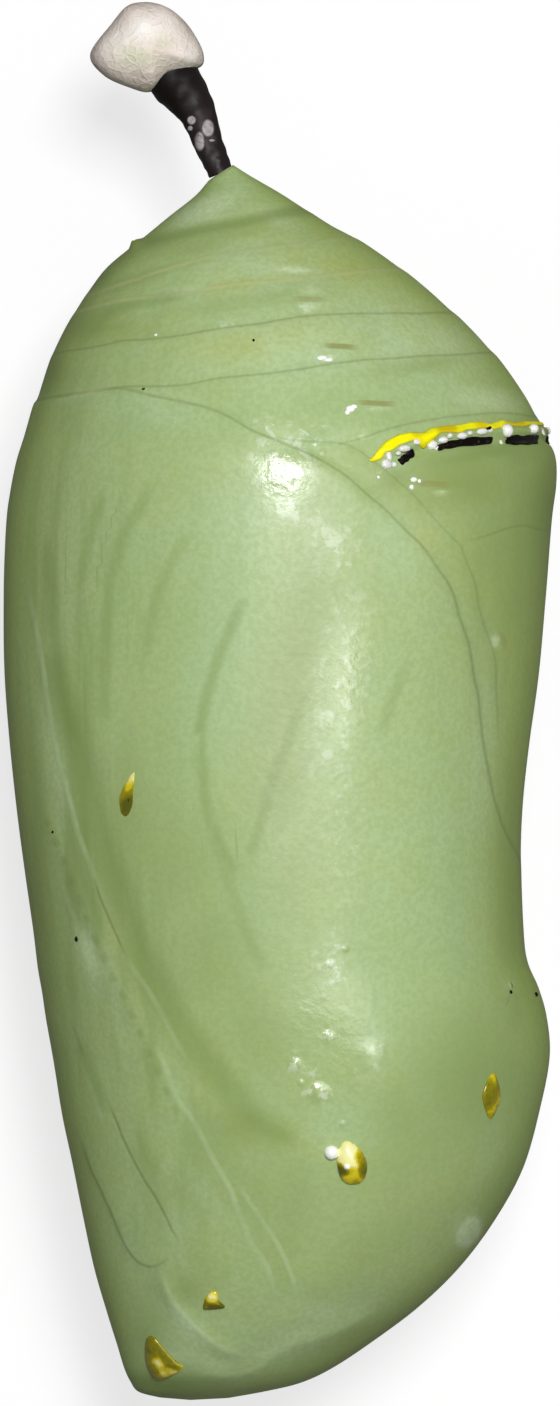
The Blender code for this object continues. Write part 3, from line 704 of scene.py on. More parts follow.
def makeSkinMaterial():
    material, tree, shader, coords, grain = grainMaterial("waxyGreen", skinLook["cloudScale"])
    pale, olive, dark = fieldParts(tree, "tone")
    gloss, facing, paintedGleam = fieldParts(tree, "glossAndPaintedLight")
    cool, yellow, fibrous = fieldParts(tree, "tint")
    clouds = ranged(tree, grain["Broad"], 0.35, 0.65, 0.1, 0.45)
    patchy = ranged(tree, grain["Middle"], 0.3, 0.7, 0.4, 1.0)
    stretch = {0: coords, 1: skinLook["fibreStretch"]}
    stretched = addNode(tree, "VectorMath", stretch, operation="MULTIPLY").outputs[0]
    fibres = ranged(tree, noiseValue(tree, stretched, skinLook["fibreScale"], 4.0, 0.55), 0.38, 0.66)
    crumbs = noiseValue(tree, coords, skinLook["crumbScale"], 3.0, 0.6)
    # painted highlight, broken into crumbs
    crumbledHighlightMask = calc(tree, "MULTIPLY", ranged(tree, calc(tree, "MULTIPLY_ADD", paintedGleam, 0.14, crumbs), 0.56, 0.70), paintedGleam)
    # pale patches, partly painted highlight, lighten the base colour
    colour = mixed(tree, calc(tree, "ADD", clouds, pale), skinLook["middle"], skinLook["pale"])
    # every colour lies over the ones before it
    for key, amount in [
        ("warm", ranged(tree, grain["Middle"], 0.4, 0.7, 0.0, 0.4)),
        ("cool", calc(tree, "MULTIPLY", cool, patchy)),
        ("yellow", calc(tree, "MULTIPLY", yellow, patchy)),
        # painted shade where the surface turns away from straight up
        ("paintedEdgeShade", ranged(tree, facing, 0.1, 0.75, 0.75, 0.0)),
        ("vein", calc(tree, "MULTIPLY", fibres, fibrous)),
        # olive and dark patches, partly painted shade
        ("olive", olive),
        ("dark", dark),
        ("paleMarkAndHighlight", ranged(tree, pale, 0.5, 1.4, 0.0, 0.95)),
        ("olive", ranged(tree, grain["Fine"], 0.35, 0.65, 0.0, 0.25)),
        # painted highlight
        ("paintedGleam", calc(tree, "MULTIPLY", crumbledHighlightMask, 0.75)),
    ]:
        colour = mixed(tree, amount, colour, skinLook[key])
    wobble = calc(tree, "MULTIPLY_ADD", grain["Middle"], 3.0, -1.5)
    broken = ranged(tree, grain["Middle"], 0.35, 0.62, 0.35, 1.0)
    height = calc(tree, "MULTIPLY", grain["Fine"], skinLook["fineRise"])
    height = calc(tree, "MULTIPLY_ADD", grain["Middle"], skinLook["middleRise"], height)
    height = calc(tree, "MULTIPLY_ADD", calc(tree, "MULTIPLY", crumbs, gloss), skinLook["crumbRise"], height)
    for name, (key, width, softness, depth, rise) in skinLook["lines"].items():
        curve = addNode(tree, "Attribute", attribute_name=name).outputs["Vector"]
        line = {"Curve": curve, "Wobble": wobble, "Width": width, "Softness": softness}
        mask = placeGroup(tree, lineGroup, line).outputs["Mask"]
        if name == "beadLine":  # dark beads one after the other
            way = splitVector(tree, curve)[2]
            beat = calc(tree, "SINE", calc(tree, "MULTIPLY", way, 100 * math.tau / coverShape["antennaBead"]))
            mask = calc(tree, "MULTIPLY", mask, ranged(tree, beat, -0.6, 0.9, 0.15, 1.0))
        elif name in ("lightLine", "legLine", "ledgeLine"):
            mask = calc(tree, "MULTIPLY", mask, broken)
        colour = mixed(tree, calc(tree, "MULTIPLY", mask, depth), colour, skinLook[key])
        if rise:
            height = calc(tree, "MULTIPLY_ADD", mask, rise, height)
    rough = ranged(tree, gloss, 0.0, 1.0, skinLook["roughness"], skinLook["glossRoughness"])
    rough = calc(tree, "MULTIPLY_ADD", grain["Fine"], 0.1, calc(tree, "SUBTRACT", rough, 0.05))
    # both sides have the same bumps, so they are placed by the distance above or below the middle plane
    x, y, z = splitVector(tree, coords)
    offMiddle = calc(tree, "ABSOLUTE", calc(tree, "SUBTRACT", z, framing["restHeight"] * millimetre))
    folded = addNode(tree, "CombineXYZ", {0: x, 1: y, 2: offMiddle}).outputs[0]
    centres = skinPoint(*spotOnCase([pimple[:2] for pimple in skinLook["pimples"]])) * millimetre
    for (_, _, radius, rise), centre in zip(skinLook["pimples"], centres):
        away = addNode(tree, "VectorMath", {0: folded, 1: tuple(centre)}, operation="DISTANCE").outputs["Value"]
        mask = ranged(tree, away, 0.0, radius * pixelInScene, 1.0, 0.0)
        height = calc(tree, "MULTIPLY_ADD", mask, rise, height)
        if radius > 7:  # the larger ones also gleam
            rough = calc(tree, "MULTIPLY_ADD", mask, -0.16, rough)
    dress(tree, shader, colour, calc(tree, "MAXIMUM", rough, skinLook["leastRoughness"]), height)
    return material


def ringPlaces(count):
    # even steps along the side, closer together at the band
    dense = np.linspace(0, 34, 4000)
    gaps = np.linalg.norm(np.diff(casePoint(dense, np.full(4000, math.pi / 2)), axis=0), axis=1)
    gaps *= 1 + 1.2 * np.exp(-(((dense[1:] + dense[:-1]) / 2 - 10.9) / 0.9) ** 2)
    reached = np.concatenate([[0], np.cumsum(gaps)])
    return np.interp(np.linspace(0, reached[-1], count), reached, dense)


skinMesh = {"around": 320, "rings": 298}


def makeSkin():
    template, ring, angle = roundTemplate(skinMesh["around"], skinMesh["rings"])
    last = skinMesh["rings"] + 1
    place = ringPlaces(skinMesh["rings"])[np.clip(ring - 1, 0, skinMesh["rings"] - 1)]
    points = skinPoint(place, angle)
    points[ring == 0], points[ring == last] = caseForm["tailCentre"], caseForm["headTip"]
    across, down = photoSpot(points)
    fields = {}
    for kind, lines in drawnLines.items():
        fields[kind] = curveAttribute(across, down, lines, lineReach.get(kind, lineReach["others"]))
    fields["tone"] = np.column_stack([patchTone(across, down, patches) for patches in toneAndPaintedLightPatches.values()])
    facing = np.abs(caseNormal(place, angle)[:, 2])  # 1 on the flanks, 0 on the back and the belly; it places the painted edge shade
    # painted highlights
    paintedGleam = patchTone(across, down, paintedHighlightPatches)
    fields["glossAndPaintedLight"] = np.column_stack([patchTone(across, down, glossPatches), facing, paintedGleam])
    fibrous = 0.06 + patchTone(across, down, fibrePatches)
    fields["tint"] = np.column_stack([*(patchTone(across, down, tints) for tints in tintPatches.values()), fibrous])
    makePiece("caseSkin", [(template, points)], makeSkinMaterial(), ["chrysalis_case"], attributes=fields)


bandMarks = {
    "yellowTop": [
        (371.6, 456.8), (376.5, 450.5), (386.3, 440.7), (398.9, 434.4), (410.2, 432.3), (422.8, 433),
        (429.8, 428.8), (438.2, 426.7), (449.4, 425.3), (460.7, 424.6), (469.1, 422.5), (480.3, 421.7),
        (490.1, 423.9), (501.4, 420.3), (512.6, 423.2), (523.8, 421), (529.4, 421.7),
    ],
    "yellowFoot": [
        (375.1, 462.4), (382.1, 458.9), (385.6, 452.6), (391.9, 451.2), (398.9, 445.6), (408.8, 442.1),
        (413, 440.7), (418.6, 446.3), (424.2, 448.4), (429.8, 443.5), (438.2, 435.1), (446.6, 434.4),
        (456.5, 435.1), (466.3, 430.9), (474.7, 430.2), (485.9, 428.8), (492.9, 430.9), (500, 428.8),
        (511.2, 426.7), (521, 428.1), (526.6, 426),
    ],
    "yellowRise": 0.04,
    "yellow": [linear(222, 198, 0), linear(255, 248, 0), linear(150, 140, 30)],  # dull, bright and at the rim
    # pixel across, how bright the yellow is there
    "yellowShade": [
        (372, 0.4), (380, 0.8), (388, 1.0), (406, 0.9), (413, 0.4), (421, 0.5), (428, 1.0), (435, 0.7), (440, 0.2),
        (452, 0.15), (459, 0.7), (470, 1.0), (478, 0.4), (487, 0.2), (494, 0.9), (503, 0.9), (508, 0.2), (522, 0.1),
        (529, 0.7),
    ],
    "dashes": [  # half thickness in mm, then the middle line in pixels
        (0.080, [(400, 462.5), (407, 456.8), (414.5, 451)]),
        (0.076, [(436.8, 448.6), (444, 445.8), (452.2, 444.2), (466.3, 441.8), (480.3, 441.0), (494, 439.8)]),
        (0.088, [(507, 439.8), (523, 440.2), (539.5, 439.4)]),
    ],
    "dashRise": 0.05,
    "black": [linear(12, 6, 4), linear(80, 70, 66)],
    # pixel, half length round the case, half width along it, rise, all in mm
    "beads": [
        (389.1, 455.4, 0.065, 0.13, 0.07), (387, 463.8, 0.11, 0.10, 0.06), (394.4, 464.5, 0.06, 0.06, 0.06),
        (403.3, 449.6, 0.13, 0.07, 0.07), (398.5, 453, 0.06, 0.05, 0.04), (415, 443.5, 0.08, 0.06, 0.04),
        (432.6, 444.2, 0.12, 0.10, 0.08), (437.5, 447.7, 0.06, 0.06, 0.05), (443, 440, 0.12, 0.07, 0.07),
        (448.5, 437, 0.06, 0.05, 0.06), (460.7, 436.8, 0.13, 0.07, 0.07), (467.5, 434.8, 0.06, 0.045, 0.05),
        (479.5, 433.6, 0.15, 0.065, 0.07), (487, 432.2, 0.06, 0.05, 0.05), (503.7, 432.5, 0.125, 0.135, 0.13),
        (503, 441, 0.05, 0.08, 0.03), (529.6, 431.2, 0.13, 0.10, 0.11), (540, 433, 0.08, 0.09, 0.03),
    ],
    "backBead": (0.07, 0.08, 0.13),  # half sizes of the bead on the middle of the back
    "white": [linear(252, 252, 248), linear(222, 224, 214)],
    "sunk": 0.06,  # how deep the marks reach into the case
    # points round each mark and rings from end to end
    "yellowMesh": (12, 420),
    "dashMesh": (16, 40),
    "beadMesh": (18, 11),
}


def turnTrack(pixels):
    # the curve as places read by the angle from the back, level across the back
    place, turn = spotOnCase(pixels)
    order = np.argsort(turn)
    return np.concatenate([[0], turn[order]]), np.concatenate([[place[order[0]]], place[order]])


def millimetresPerPlace(place, turn):
    return np.linalg.norm(casePoint(place + 0.05, turn) - casePoint(place - 0.05, turn), axis=1) / 0.1


def makeYellowMaterial():
    material, tree, shader, _, grain = grainMaterial("bandYellow", 1800.0)
    shade, rim, _ = fieldParts(tree, "shade")
    dull, bright, edge = bandMarks["yellow"]
    amount = calc(tree, "ADD", shade, ranged(tree, grain["Broad"], 0.3, 0.7, -0.25, 0.25))
    colour = mixed(tree, rim, mixed(tree, ranged(tree, amount, 0.0, 1.0), dull, bright), edge)
    rough = calc(tree, "MULTIPLY_ADD", grain["Fine"], 0.2, 0.35)
    dress(tree, shader, colour, rough, calc(tree, "MULTIPLY", grain["Middle"], 0.02), {"Specular IOR Level": 0.25})
    return material


def makeYellowBand():
    template, ring, angle = roundTemplate(*bandMarks["yellowMesh"])
    topTurn, topPlace = turnTrack(bandMarks["yellowTop"])
    footTurn, footPlace = turnTrack(bandMarks["yellowFoot"])
    widest = min(topTurn[-1], footTurn[-1]) + 0.02
    turn = (2 * ring / ring.max() - 1) * widest
    top = np.interp(np.abs(turn), topTurn, topPlace)
    foot = np.maximum(np.interp(np.abs(turn), footTurn, footPlace), top + 0.02)
    rounding = np.sqrt(1 - np.clip((np.abs(turn) - widest + 0.08) / 0.08, 0, 1) ** 2)
    place = (top + foot) / 2 + (foot - top) / 2 * np.cos(angle) * rounding
    lift = np.where(np.sin(angle) > 0, bandMarks["yellowRise"], bandMarks["sunk"]) * np.sin(angle) * rounding
    points = skinPoint(place, turn, lift + 0.004)
    rim = smoothStep(0.75, 1.0, np.abs(np.cos(angle))) * 0.5
    shade = np.column_stack([atStops(bandMarks["yellowShade"], photoSpot(points)[0]), rim, rim])
    makePiece("yellowBand", [(template, points)], makeYellowMaterial(), attributes={"shade": shade})


def makeDashMaterial():
    material, tree, shader, _, grain = grainMaterial("bandBlack", 2000.0, 14000.0)
    colour = mixed(tree, ranged(tree, grain["Fine"], 0.62, 0.75), *bandMarks["black"])
    rough = calc(tree, "MULTIPLY_ADD", grain["Middle"], 0.3, 0.3)
    dress(tree, shader, colour, rough, calc(tree, "MULTIPLY", grain["Middle"], 0.02), {"Specular IOR Level": 0.15})
    return material


def makeDashes():
    template, ring, angle = roundTemplate(*bandMarks["dashMesh"])
    part, shapes = ring / ring.max(), []
    rounding = np.sqrt(1 - np.abs(2 * part - 1) ** 8)
    rise = np.where(np.sin(angle) > 0, bandMarks["dashRise"], bandMarks["sunk"]) * np.sin(angle) * rounding + 0.006
    for number, (half, line) in enumerate(bandMarks["dashes"]):
        way = part * (len(line) - 1)
        run = readRows(line, way + 0.02) - readRows(line, way - 0.02)
        run = run / np.linalg.norm(run, axis=1)[:, None]
        step = half / framing["pixelSize"] * (1 + 0.1 * np.sin(19 * part + number)) * np.cos(angle) * rounding
        place, turn = spotOnCase(readRows(line, way) + step[:, None] * np.column_stack([-run[:, 1], run[:, 0]]))
        shapes += [(template, skinPoint(place, turn * side, rise)) for side in (1, -1)]
    # the last dash lies across the middle of the back
    midPlace, half = spotOnCase([bandMarks["dashes"][-1][1][-1]])[0][0], bandMarks["dashes"][-1][0]
    turn = 0.2 * part - 0.1
    step = half / millimetresPerPlace(np.full(len(turn), midPlace), turn)
    shapes.append((template, skinPoint(midPlace + step * np.cos(angle) * rounding, turn, rise)))
    makePiece("bandDashes", shapes, makeDashMaterial())


def makeBeadMaterial():
    material, tree, shader, _, grain = grainMaterial("beadWhite", 1500.0)
    colour = mixed(tree, ranged(tree, grain["Broad"], 0.5, 0.7), *bandMarks["white"])
    rough = calc(tree, "MULTIPLY_ADD", grain["Fine"], 0.2, 0.2)
    glow = {"Subsurface Weight": 0.5, "Subsurface Radius": (1.0, 1.0, 1.0), "Subsurface Scale": 0.0002}
    dress(tree, shader, colour, rough, calc(tree, "MULTIPLY", grain["Middle"], 0.01), glow)
    return material


def domesOn(fineness, marks):
    # flattened balls on both sides of the case: pixel, half length round it, half width along it, rise
    template, ring, angle = roundTemplate(*fineness)
    polar = ring / ring.max() * math.pi
    ball = np.column_stack([np.sin(polar) * np.cos(angle), np.sin(polar) * np.sin(angle), np.cos(polar)])
    place, turn = spotOnCase([mark[:2] for mark in marks])
    normal = caseNormal(place, turn)
    sideways = casePoint(place, turn + 0.01) - casePoint(place, turn - 0.01)
    sideways = sideways / np.linalg.norm(sideways, axis=1)[:, None]
    shapes = []
    for middle, *ways, mark in zip(skinPoint(place, turn), sideways, np.cross(normal, sideways), normal, marks):
        points = middle + (ball * mark[2:]) @ np.array(ways)
        shapes += [(template, points * (1, 1, side)) for side in (1, -1)]
    return shapes


def makeBeads():
    shapes = domesOn(bandMarks["beadMesh"], bandMarks["beads"])
    # one bead more on the middle of the back
    template, ring, angle = roundTemplate(*bandMarks["beadMesh"])
    polar = ring / ring.max() * math.pi
    ball = np.column_stack([np.cos(polar), np.sin(polar) * np.cos(angle), np.sin(polar) * np.sin(angle)])
    place = spotOnCase([bandMarks["beads"][-2][:2]])[0]
    middle = skinPoint(place, np.zeros(1), -bandMarks["backBead"][0] / 2)[0]
    shapes.append((template, middle + ball * bandMarks["backBead"]))
    makePiece("bandBeads", shapes, makeBeadMaterial())


goldMarks = {
    # centre pixel, outline as pixels from it, rise in mm
    "streakSpot": ((129, 794), [(5, -22), (5, -12), (4, 0), (3, 12), (-2, 22), (-8, 18), (-9, 2), (-1, -14)], 0.012),
    "backSpot": ((491, 1096), [(2, -23), (7, -13), (9, 1), (5, 14), (-1, 23), (-6, 14), (-9, 0), (-5, -13)], 0.08),
    "headSpot": ((161, 1358), [(-8, -22), (3, -10), (14, 2), (22, 9), (14, 16), (-4, 22), (-14, 6), (-15, -17)],
                 0.09),
    "eyeSpot": ((212, 1300), [(0, -9), (5, -8), (7, 0), (13, 7), (3, 9), (-8, 9), (-8, 2), (-5, -5)], 0.08),
    "wingRootSpot": ((351, 1162), [(-6, -21), (6, -16), (14, -5), (16, 8), (10, 20), (-4, 21), (-12, 12), (-14, -8)],
                     0.20),
}
goldLook = {
    # brightness and its colour, from dark olive to pale yellow
    "colours": [
        (-1.0, linear(94, 96, 14)), (0.0, linear(154, 144, 6)), (0.5, linear(222, 204, 22)),
        (1.0, linear(255, 252, 176)),
    ],
    "sunk": 0.08,
    "mesh": (44, 23),
}
# Light and dark parts of the spots, with painted shadow beside and under the raised spots: pixel, half sizes, degrees
# turned, 1 for pale yellow to -1 for dark olive
goldTonesAndPaintedShadow = [
    (352, 1162, 20, 26, 0, 0.1), (346, 1152, 12, 12, 0, 1.2), (353, 1158, 5, 9, -20, 1.0),
    (360, 1157, 4, 8, -15, 0.2), (352, 1172, 8, 6, 0, 0.5), (363, 1167, 5, 6, 0, -0.6),
    # the -1.0 at (337, 1172) is painted shadow on the left side of the knob
    (342.5, 1169, 4, 3, 20, -0.8), (352, 1179, 12, 4, 5, 0.35), (337, 1172, 4, 8, 20, -1.0),
    (161, 1358, 20, 24, 0, -0.15), (161, 1361, 6, 5, 30, 0.7), (172, 1369, 13, 4, -14, 0.7),
    (173, 1362, 8, 3, 35, -0.5), (153, 1344, 8, 10, 20, -0.5), (153, 1372, 6, 9, 0, -0.3),
    (166, 1352, 5, 4, 35, -0.6), (212, 1300, 12, 12, 0, 0.1), (213, 1297, 5, 5, 0, 0.8),
    # the -1.0 at (216, 1306) is painted shadow under the eye spot
    (216, 1306, 12, 4, 5, -1.0), (205, 1304, 4, 4, 0, -0.4), (491, 1096, 12, 26, 0, -0.2),
    (496, 1103, 4, 12, 20, 0.3), (492, 1077, 4, 6, 0, 0.2), (487, 1094, 4, 10, 10, -0.5), (490, 1114, 4, 5, 0, 0.2),
    # the -1.0 at (130, 808) is painted shadow under the streak spot
    (131, 781, 3, 11, 22, 0.65), (126, 801, 4, 4, 0, 0.0), (130, 808, 9, 12, 0, -1.0),
]


def makeGoldMaterial():
    material, tree, shader, _, grain = grainMaterial("spotGold", 1400.0)
    bright = calc(tree, "ADD", fieldParts(tree, "shade")[0], ranged(tree, grain["Middle"], 0.3, 0.7, -0.2, 0.2))
    stops = goldLook["colours"]
    colour = stops[0][1]
    for (low, _), (high, lighter) in zip(stops, stops[1:]):
        colour = mixed(tree, ranged(tree, bright, low, high), colour, lighter)
    rough = calc(tree, "MULTIPLY_ADD", grain["Middle"], 0.2, 0.12)
    dress(tree, shader, colour, rough, calc(tree, "MULTIPLY", grain["Broad"], 0.02), {"Metallic": 0.1})
    return material


def makeGoldSpots():
    template, ring, angle = roundTemplate(*goldLook["mesh"])
    polar = ring / ring.max() * math.pi
    shapes, shades = [], []
    for centre, outline, rise in goldMarks.values():
        loop = outline[-1:] + outline + outline[:2]
        rim = readRows(loop, 1 + (angle % math.tau) / math.tau * len(outline))
        pixels = np.array(centre) + rim * np.sin(polar)[:, None]
        place, turn = spotOnCase(pixels)
        lift = np.where(np.cos(polar) > 0, rise, goldLook["sunk"]) * np.cos(polar) + 0.006
        tone = np.zeros(len(pixels))
        for *oval, amount in goldTonesAndPaintedShadow:
            part = smoothStep(1.8, 0.5, ovalReach(*pixels.T, *oval))
            tone = tone * (1 - part) + amount * part
        for side in (1, -1):
            shapes.append((template, skinPoint(place, turn * side, lift)))
            shades.append(np.column_stack([tone, tone * 0, tone * 0]))
    makePiece("goldSpots", shapes, makeGoldMaterial(), attributes={"shade": np.concatenate(shades)})


# Small marks on both sides: pixel, half length round the case, half width along it, rise
glintAndPoreMarks = {
    "paintedGlintDomes": [  # white domes that stand for glints: painted highlights
        (331.5, 1152.5, 0.145, 0.145, 0.17), (346.5, 1163.7, 0.10, 0.10, 0.25),
        (350.5, 408.5, 0.09, 0.07, 0.03), (354, 406.5, 0.07, 0.05, 0.03), (347.5, 412, 0.05, 0.05, 0.02),
        (414.5, 479.5, 0.07, 0.05, 0.03), (412.5, 487, 0.05, 0.05, 0.03), (420, 481, 0.04, 0.04, 0.02),
        (322, 357, 0.10, 0.05, 0.02), (329, 359, 0.08, 0.04, 0.02), (155, 334, 0.035, 0.03, 0.02),
        (379, 477, 0.03, 0.035, 0.02),
    ],
    "darkPores": [
        (253.5, 340, 0.026, 0.034, 0.02), (142, 388, 0.036, 0.03, 0.02), (53, 832, 0.036, 0.03, 0.02),
        (76.5, 939, 0.045, 0.055, 0.03), (511, 992, 0.06, 0.04, 0.02), (536, 994.5, 0.10, 0.05, 0.04),
        (485.3, 431, 0.03, 0.04, 0.11), (129, 800, 0.03, 0.05, 0.02),
    ],
    # white of the painted glint domes
    "white": [linear(255, 255, 252), linear(226, 232, 212)],
    "mesh": (14, 7),
}


def makeGlintDomeMaterial():
    material, tree, shader, _, grain = grainMaterial("paintedGlintWhite", 3000.0)
    colour = mixed(tree, ranged(tree, grain["Broad"], 0.5, 0.8), *glintAndPoreMarks["white"])
    dress(tree, shader, colour, calc(tree, "MULTIPLY_ADD", grain["Fine"], 0.3, 0.3))
    return material


def makeSmallMarks():
    for name, material in (("paintedGlintDomes", makeGlintDomeMaterial()), ("darkPores", makeDashMaterial())):
        makePiece(name, domesOn(glintAndPoreMarks["mesh"], glintAndPoreMarks[name]), material)


stalkForm = {
    # centre (x, y), half width in the photograph's plane and half breadth, from the case to the silk
    "sections": [
        (-1.19, 10.56, 0.25, 0.23), (-1.26, 10.72, 0.26, 0.24), (-1.36, 10.95, 0.28, 0.25),
        (-1.49, 11.31, 0.31, 0.27), (-1.61, 11.65, 0.35, 0.30), (-1.74, 11.90, 0.41, 0.34),
        (-1.93, 12.18, 0.48, 0.40), (-2.10, 12.42, 0.53, 0.46), (-2.22, 12.66, 0.55, 0.48),
    ],
    # painted highlights on the stalk's lumps: pixel, half width and half length in pixels
    "patches": [(208, 129, 7, 10), (199.5, 142, 6, 10.5), (191.5, 121, 5, 5), (190, 129, 3, 3), (212, 141, 3.5, 1.5)],
    "black": [linear(14, 8, 5), linear(34, 26, 27)],  # painted shade on the left side, and the lighter colour on the right side where the light falls
    "paintedShadeEdge": (-0.0021, -0.0014),  # where one turns into the other, in m across
    # painted light: mauve lumps shown only on the lighter side
    "lump": linear(58, 46, 50),
    "wrinkles": (0.011, 0.007, 0.004),  # coarse, middle and fine, in mm
    # colours of the painted highlights
    "scale": [linear(118, 108, 112), linear(182, 172, 176)],
    "mesh": (72, 150),
}


def makeStalkMaterial():
    material, tree, shader, coords, grain = grainMaterial("stalkBlack", 1500.0)
    # painted shade: the stalk darker on its left side and lighter on its right side
    side = ranged(tree, splitVector(tree, coords)[0], *stalkForm["paintedShadeEdge"])
    colour = mixed(tree, side, *stalkForm["black"])
    # painted light: mauve lumps only on the lighter side
    paintedLitLumps = ranged(tree, grain["Broad"], 0.5, 0.66, 0.0, 0.55)
    colour = mixed(tree, calc(tree, "MULTIPLY", paintedLitLumps, side), colour, stalkForm["lump"])
    height = calc(tree, "MULTIPLY", grain["Broad"], 0.035)
    stalkHighlightColour = mixed(tree, ranged(tree, grain["Middle"], 0.35, 0.6), *stalkForm["scale"])
    middleX, middleY = framing["middlePixel"]
    offX, offY = (part * millimetre for part in framing["middlePoint"])
    # painted highlights
    for x, y, halfWidth, halfLength in stalkForm["patches"]:
        centre = ((x - middleX) * pixelInScene + offX, (middleY - y) * pixelInScene + offY, 0)
        spot = {"Coordinates": coords, "Centre": centre, "Edge": 0.35,
                "Half Width": halfWidth * pixelInScene, "Half Length": halfLength * pixelInScene}
        mask = placeGroup(tree, spotGroup, spot).outputs[0]
        colour = mixed(tree, calc(tree, "MULTIPLY", mask, 0.9), colour, stalkHighlightColour)
        height = calc(tree, "MULTIPLY_ADD", mask, 0.02, height)
    rough = calc(tree, "MULTIPLY_ADD", grain["Broad"], 0.3, 0.3)
    dress(tree, shader, colour, rough, height, {"Specular IOR Level": 0.2})
    return material


def makeStalk():
    template, ring, angle = roundTemplate(*stalkForm["mesh"])
    rings, last = stalkForm["mesh"][1], len(stalkForm["sections"]) - 1
    place = np.clip((ring - 1) / (rings - 1), 0, 1) * last
    row = readRows(stalkForm["sections"], place)
    ahead, behind = (readRows(stalkForm["sections"], place + step)[:, 0:2] for step in (0.1, -0.1))
    along = ahead - behind
    along = along / np.maximum(np.linalg.norm(along, axis=1), 1e-9)[:, None]
    coarse, middle, fine = stalkForm["wrinkles"]
    wrinkle = coarse * np.sin(2.3 * place + 3 * angle) * np.sin(2.6 * place)
    wrinkle += middle * np.sin(5 * angle + 1.6 * place) + fine * np.sin(7 * place + 2 * np.sin(3 * angle))
    wrinkle *= smoothStep(0.2, 1.2, place) * (1 - smoothStep(last - 0.4, last, place))
    closing = ((ring > 0) & (ring <= rings)).astype(float)
    across = np.cos(angle) * (row[:, 2] + wrinkle) * closing
    points = np.column_stack([
        row[:, 0] + along[:, 1] * across, row[:, 1] - along[:, 0] * across,
        (row[:, 3] + wrinkle) * np.sin(angle) * closing,
    ])
    makePiece("stalk", [(template, points)], makeStalkMaterial(), ["cremaster_stalk"])


silkForm = {
    "outline": [
        (-3.54, 12.52), (-3.04, 12.28), (-2.60, 12.18), (-2.26, 12.46), (-1.88, 12.58), (-1.57, 12.70),
        (-1.53, 12.92), (-1.64, 13.20), (-1.86, 13.54), (-2.14, 13.80), (-2.44, 13.94), (-2.74, 13.98),
        (-3.06, 13.90), (-3.36, 13.56), (-3.80, 12.94),
    ],
    "centre": (-2.60, 13.02),
    "breadth": 0.92,
    "lump": 0.05,
    "softness": (-10, 4),  # pixels over which the stalk's black fades into the silk
    # pixels, as for the tones of the case; the stalk's black comes up to the last curve
    # pale: painted highlight on the silk
    "pale": [(142, 29, 14, 9, 0, 1.0), (117, 40, 8, 6, 0, 0.6), (190, 60, 10, 6, 20, 0.4)],
    "green": [(136, 57, 18, 9, 0, 0.9), (164, 43, 7, 5, 0, 0.7), (122, 47, 6, 5, 0, 0.5)],
    "sootEdge": [(146, 104), (157, 93), (165, 80), (174, 73), (189, 73), (208, 68)],
    "threads": [linear(224, 208, 198), linear(238, 226, 216)],
    # colour of the painted highlight
    "paintedHighlightThreads": linear(248, 244, 238),
    "greenThreads": linear(206, 208, 180),
    # painted shade along the silk's outline
    "rim": linear(170, 158, 140),
    "strand": linear(250, 246, 240),
    "soot": linear(18, 12, 9),
    "strandScale": 5200.0,
    "mesh": (160, 109),
}


def makeSilkMaterial():
    material, tree, shader, coords, grain = grainMaterial("mattedSilk", 1100.0)
    pale, green, soot = fieldParts(tree, "tone")
    threads = {"Vector": coords, "Scale": silkForm["strandScale"]}
    strand = addNode(tree, "TexVoronoi", threads, feature="DISTANCE_TO_EDGE").outputs[0]
    strand = ranged(tree, strand, 0.0, 0.14, 1.0, 0.0)
    edge = calc(tree, "ADD", soot, ranged(tree, grain["Middle"], 0.3, 0.7, -0.2, 0.2))
    colour = mixed(tree, ranged(tree, grain["Broad"], 0.4, 0.65), *silkForm["threads"])
    for key, amount in [
        ("paintedHighlightThreads", pale),
        ("greenThreads", green),
        # painted shade where the silk turns away from straight up
        ("rim", ranged(tree, fieldParts(tree, "glossAndPaintedLight")[1], 0.1, 0.75, 0.85, 0.0)),
        ("strand", calc(tree, "MULTIPLY", strand, 0.22)),
        ("soot", ranged(tree, edge, 0.25, 0.75)),
    ]:
        colour = mixed(tree, amount, colour, silkForm[key])
    height = calc(tree, "MULTIPLY_ADD", strand, 0.008, calc(tree, "MULTIPLY", grain["Middle"], 0.05))
    glow = {"Subsurface Weight": 0.25, "Subsurface Radius": (1.0, 0.8, 0.6), "Subsurface Scale": 0.0003}
    dress(tree, shader, colour, 0.75, height, glow)
    return material


def silkPoint(turn, height):
    count = len(silkForm["outline"])
    loop = silkForm["outline"][-1:] + silkForm["outline"] + silkForm["outline"][:2]
    rim = readRows(loop, 1 + (turn % 1.0) * count)
    size = np.sqrt(np.maximum(1 - height * height, 0))[:, None]
    lump = silkForm["lump"] * np.sin(5 * math.tau * turn + 3 * height)[:, None] * size * np.abs(height)[:, None]
    centre = np.array(silkForm["centre"])
    return np.column_stack([centre + (rim - centre) * size * (1 + lump), silkForm["breadth"] * height])


def makeSilk():
    template, ring, angle = roundTemplate(*silkForm["mesh"])
    height = np.cos(ring / ring.max() * math.pi)
    points = silkPoint(angle / math.tau, height)
    across, down = photoSpot(points)
    soot = smoothStep(*silkForm["softness"], besideCurve(across, down, silkForm["sootEdge"])[0])
    tones = [patchTone(across, down, silkForm["pale"]), patchTone(across, down, silkForm["green"]), soot]
    # places the painted shade along the outline
    facing = np.abs(height) ** 0.7
    fields = {"tone": np.column_stack(tones), "glossAndPaintedLight": np.column_stack([facing * 0, facing, facing * 0])}
    makePiece("silkButton", [(template, points)], makeSilkMaterial(), ["silk_button"], fields)


floorLook = {"size": 0.6, "greys": (0.24, 0.26), "cloudScale": 40.0, "glow": 0.74}


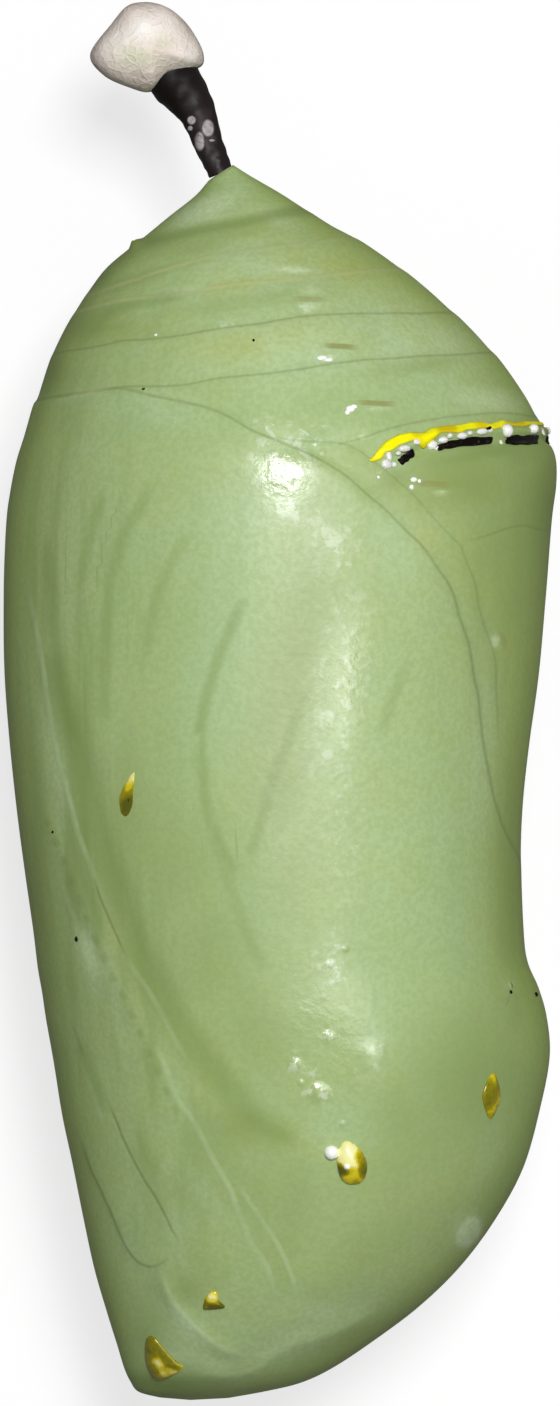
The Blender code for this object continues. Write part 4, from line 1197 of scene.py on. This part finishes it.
def makeFloor():
    bm = bmesh.new()
    bmesh.ops.create_grid(bm, x_segments=1, y_segments=1, size=floorLook["size"])
    floor = addObject("floor", meshFrom(bm, "floor"))
    material, tree, shader = newMaterial("paleFloor")
    coords = addNode(tree, "TexCoord").outputs["Object"]
    cloud = ranged(tree, noiseValue(tree, coords, floorLook["cloudScale"]), 0.3, 0.7)
    plain = {"Specular IOR Level": 0.0, "Emission Color": (1, 1, 1, 1), "Emission Strength": floorLook["glow"]}
    dress(tree, shader, mixed(tree, cloud, *((grey, grey, grey, 1) for grey in floorLook["greys"])), 1.0, plain=plain)
    floor.data.materials.append(material)
    floor.visible_glossy = floor.visible_diffuse = False
    print("made floor")


lighting = {
    # degrees right of and above straight down, distance and size in m, power in W
    "key": (7, 13, 0.40, 0.10, 1.43),
    # lights that only gleam: pixel where each is mirrored, distance and size in m, power in W
    "sheen": ((340, 700), 0.40, 0.11, 0.33),
    "glint": ((283, 469), 0.40, 0.07, 1.15),
    "world": 0.18,
    "background": 0.95,  # what the camera sees of the world
}


def addLight(name, start, way, distance, size, power):
    data = bpy.data.lights.new(name, "AREA")
    data.size, data.energy = size, power
    light = addObject(name, data)
    light.location = start + way * distance
    light.rotation_mode = "QUATERNION"
    light.rotation_quaternion = way.to_track_quat("Z", "Y")
    print("light", name, [round(c, 3) for c in way])
    return light


def makeLights():
    right, up, distance, size, power = lighting["key"]
    way = Vector((math.tan(math.radians(right)), math.tan(math.radians(up)), 1)).normalized()
    addLight("key", Vector((0, 0, 0)), way, distance, size, power).visible_glossy = False
    eye = toScene((*framing["middlePoint"], cameraReach))
    for name in ("sheen", "glint"):
        pixel, distance, size, power = lighting[name]
        place, turn = spotOnCase([pixel])
        spot, normal = Vector(toScene(skinPoint(place, turn))[0]), Vector(caseNormal(place, turn)[0])
        toEye = (Vector(eye) - spot).normalized()
        way = 2 * toEye.dot(normal) * normal - toEye
        addLight(name, spot, way, distance, size, power).visible_diffuse = False
    world = bpy.data.worlds.new("studio")
    world.use_nodes = True
    tree, dim = world.node_tree, lighting["world"]
    seen = addNode(tree, "LightPath").outputs["Is Camera Ray"]
    strength = calc(tree, "MULTIPLY_ADD", seen, lighting["background"] - dim, dim)
    setInputs(tree, tree.nodes["Background"], {"Color": (1, 1, 1, 1), "Strength": strength})
    bpy.context.scene.world = world
    bpy.context.scene.view_settings.view_transform = "Standard"


def makeCamera():
    data = bpy.data.cameras.new("camera")
    data.lens, data.sensor_width = framing["lens"], framing["sensor"]
    data.clip_start, data.clip_end = 0.01, 10
    camera = addObject("camera", data)
    camera.location = toScene((*framing["middlePoint"], cameraReach))
    bpy.context.scene.camera = camera
    print("camera", [round(c, 4) for c in camera.location])


makeSkin()
makeYellowBand()
makeDashes()
makeBeads()
makeGoldSpots()
makeSmallMarks()
makeStalk()
makeSilk()
makeFloor()
makeLights()
makeCamera()
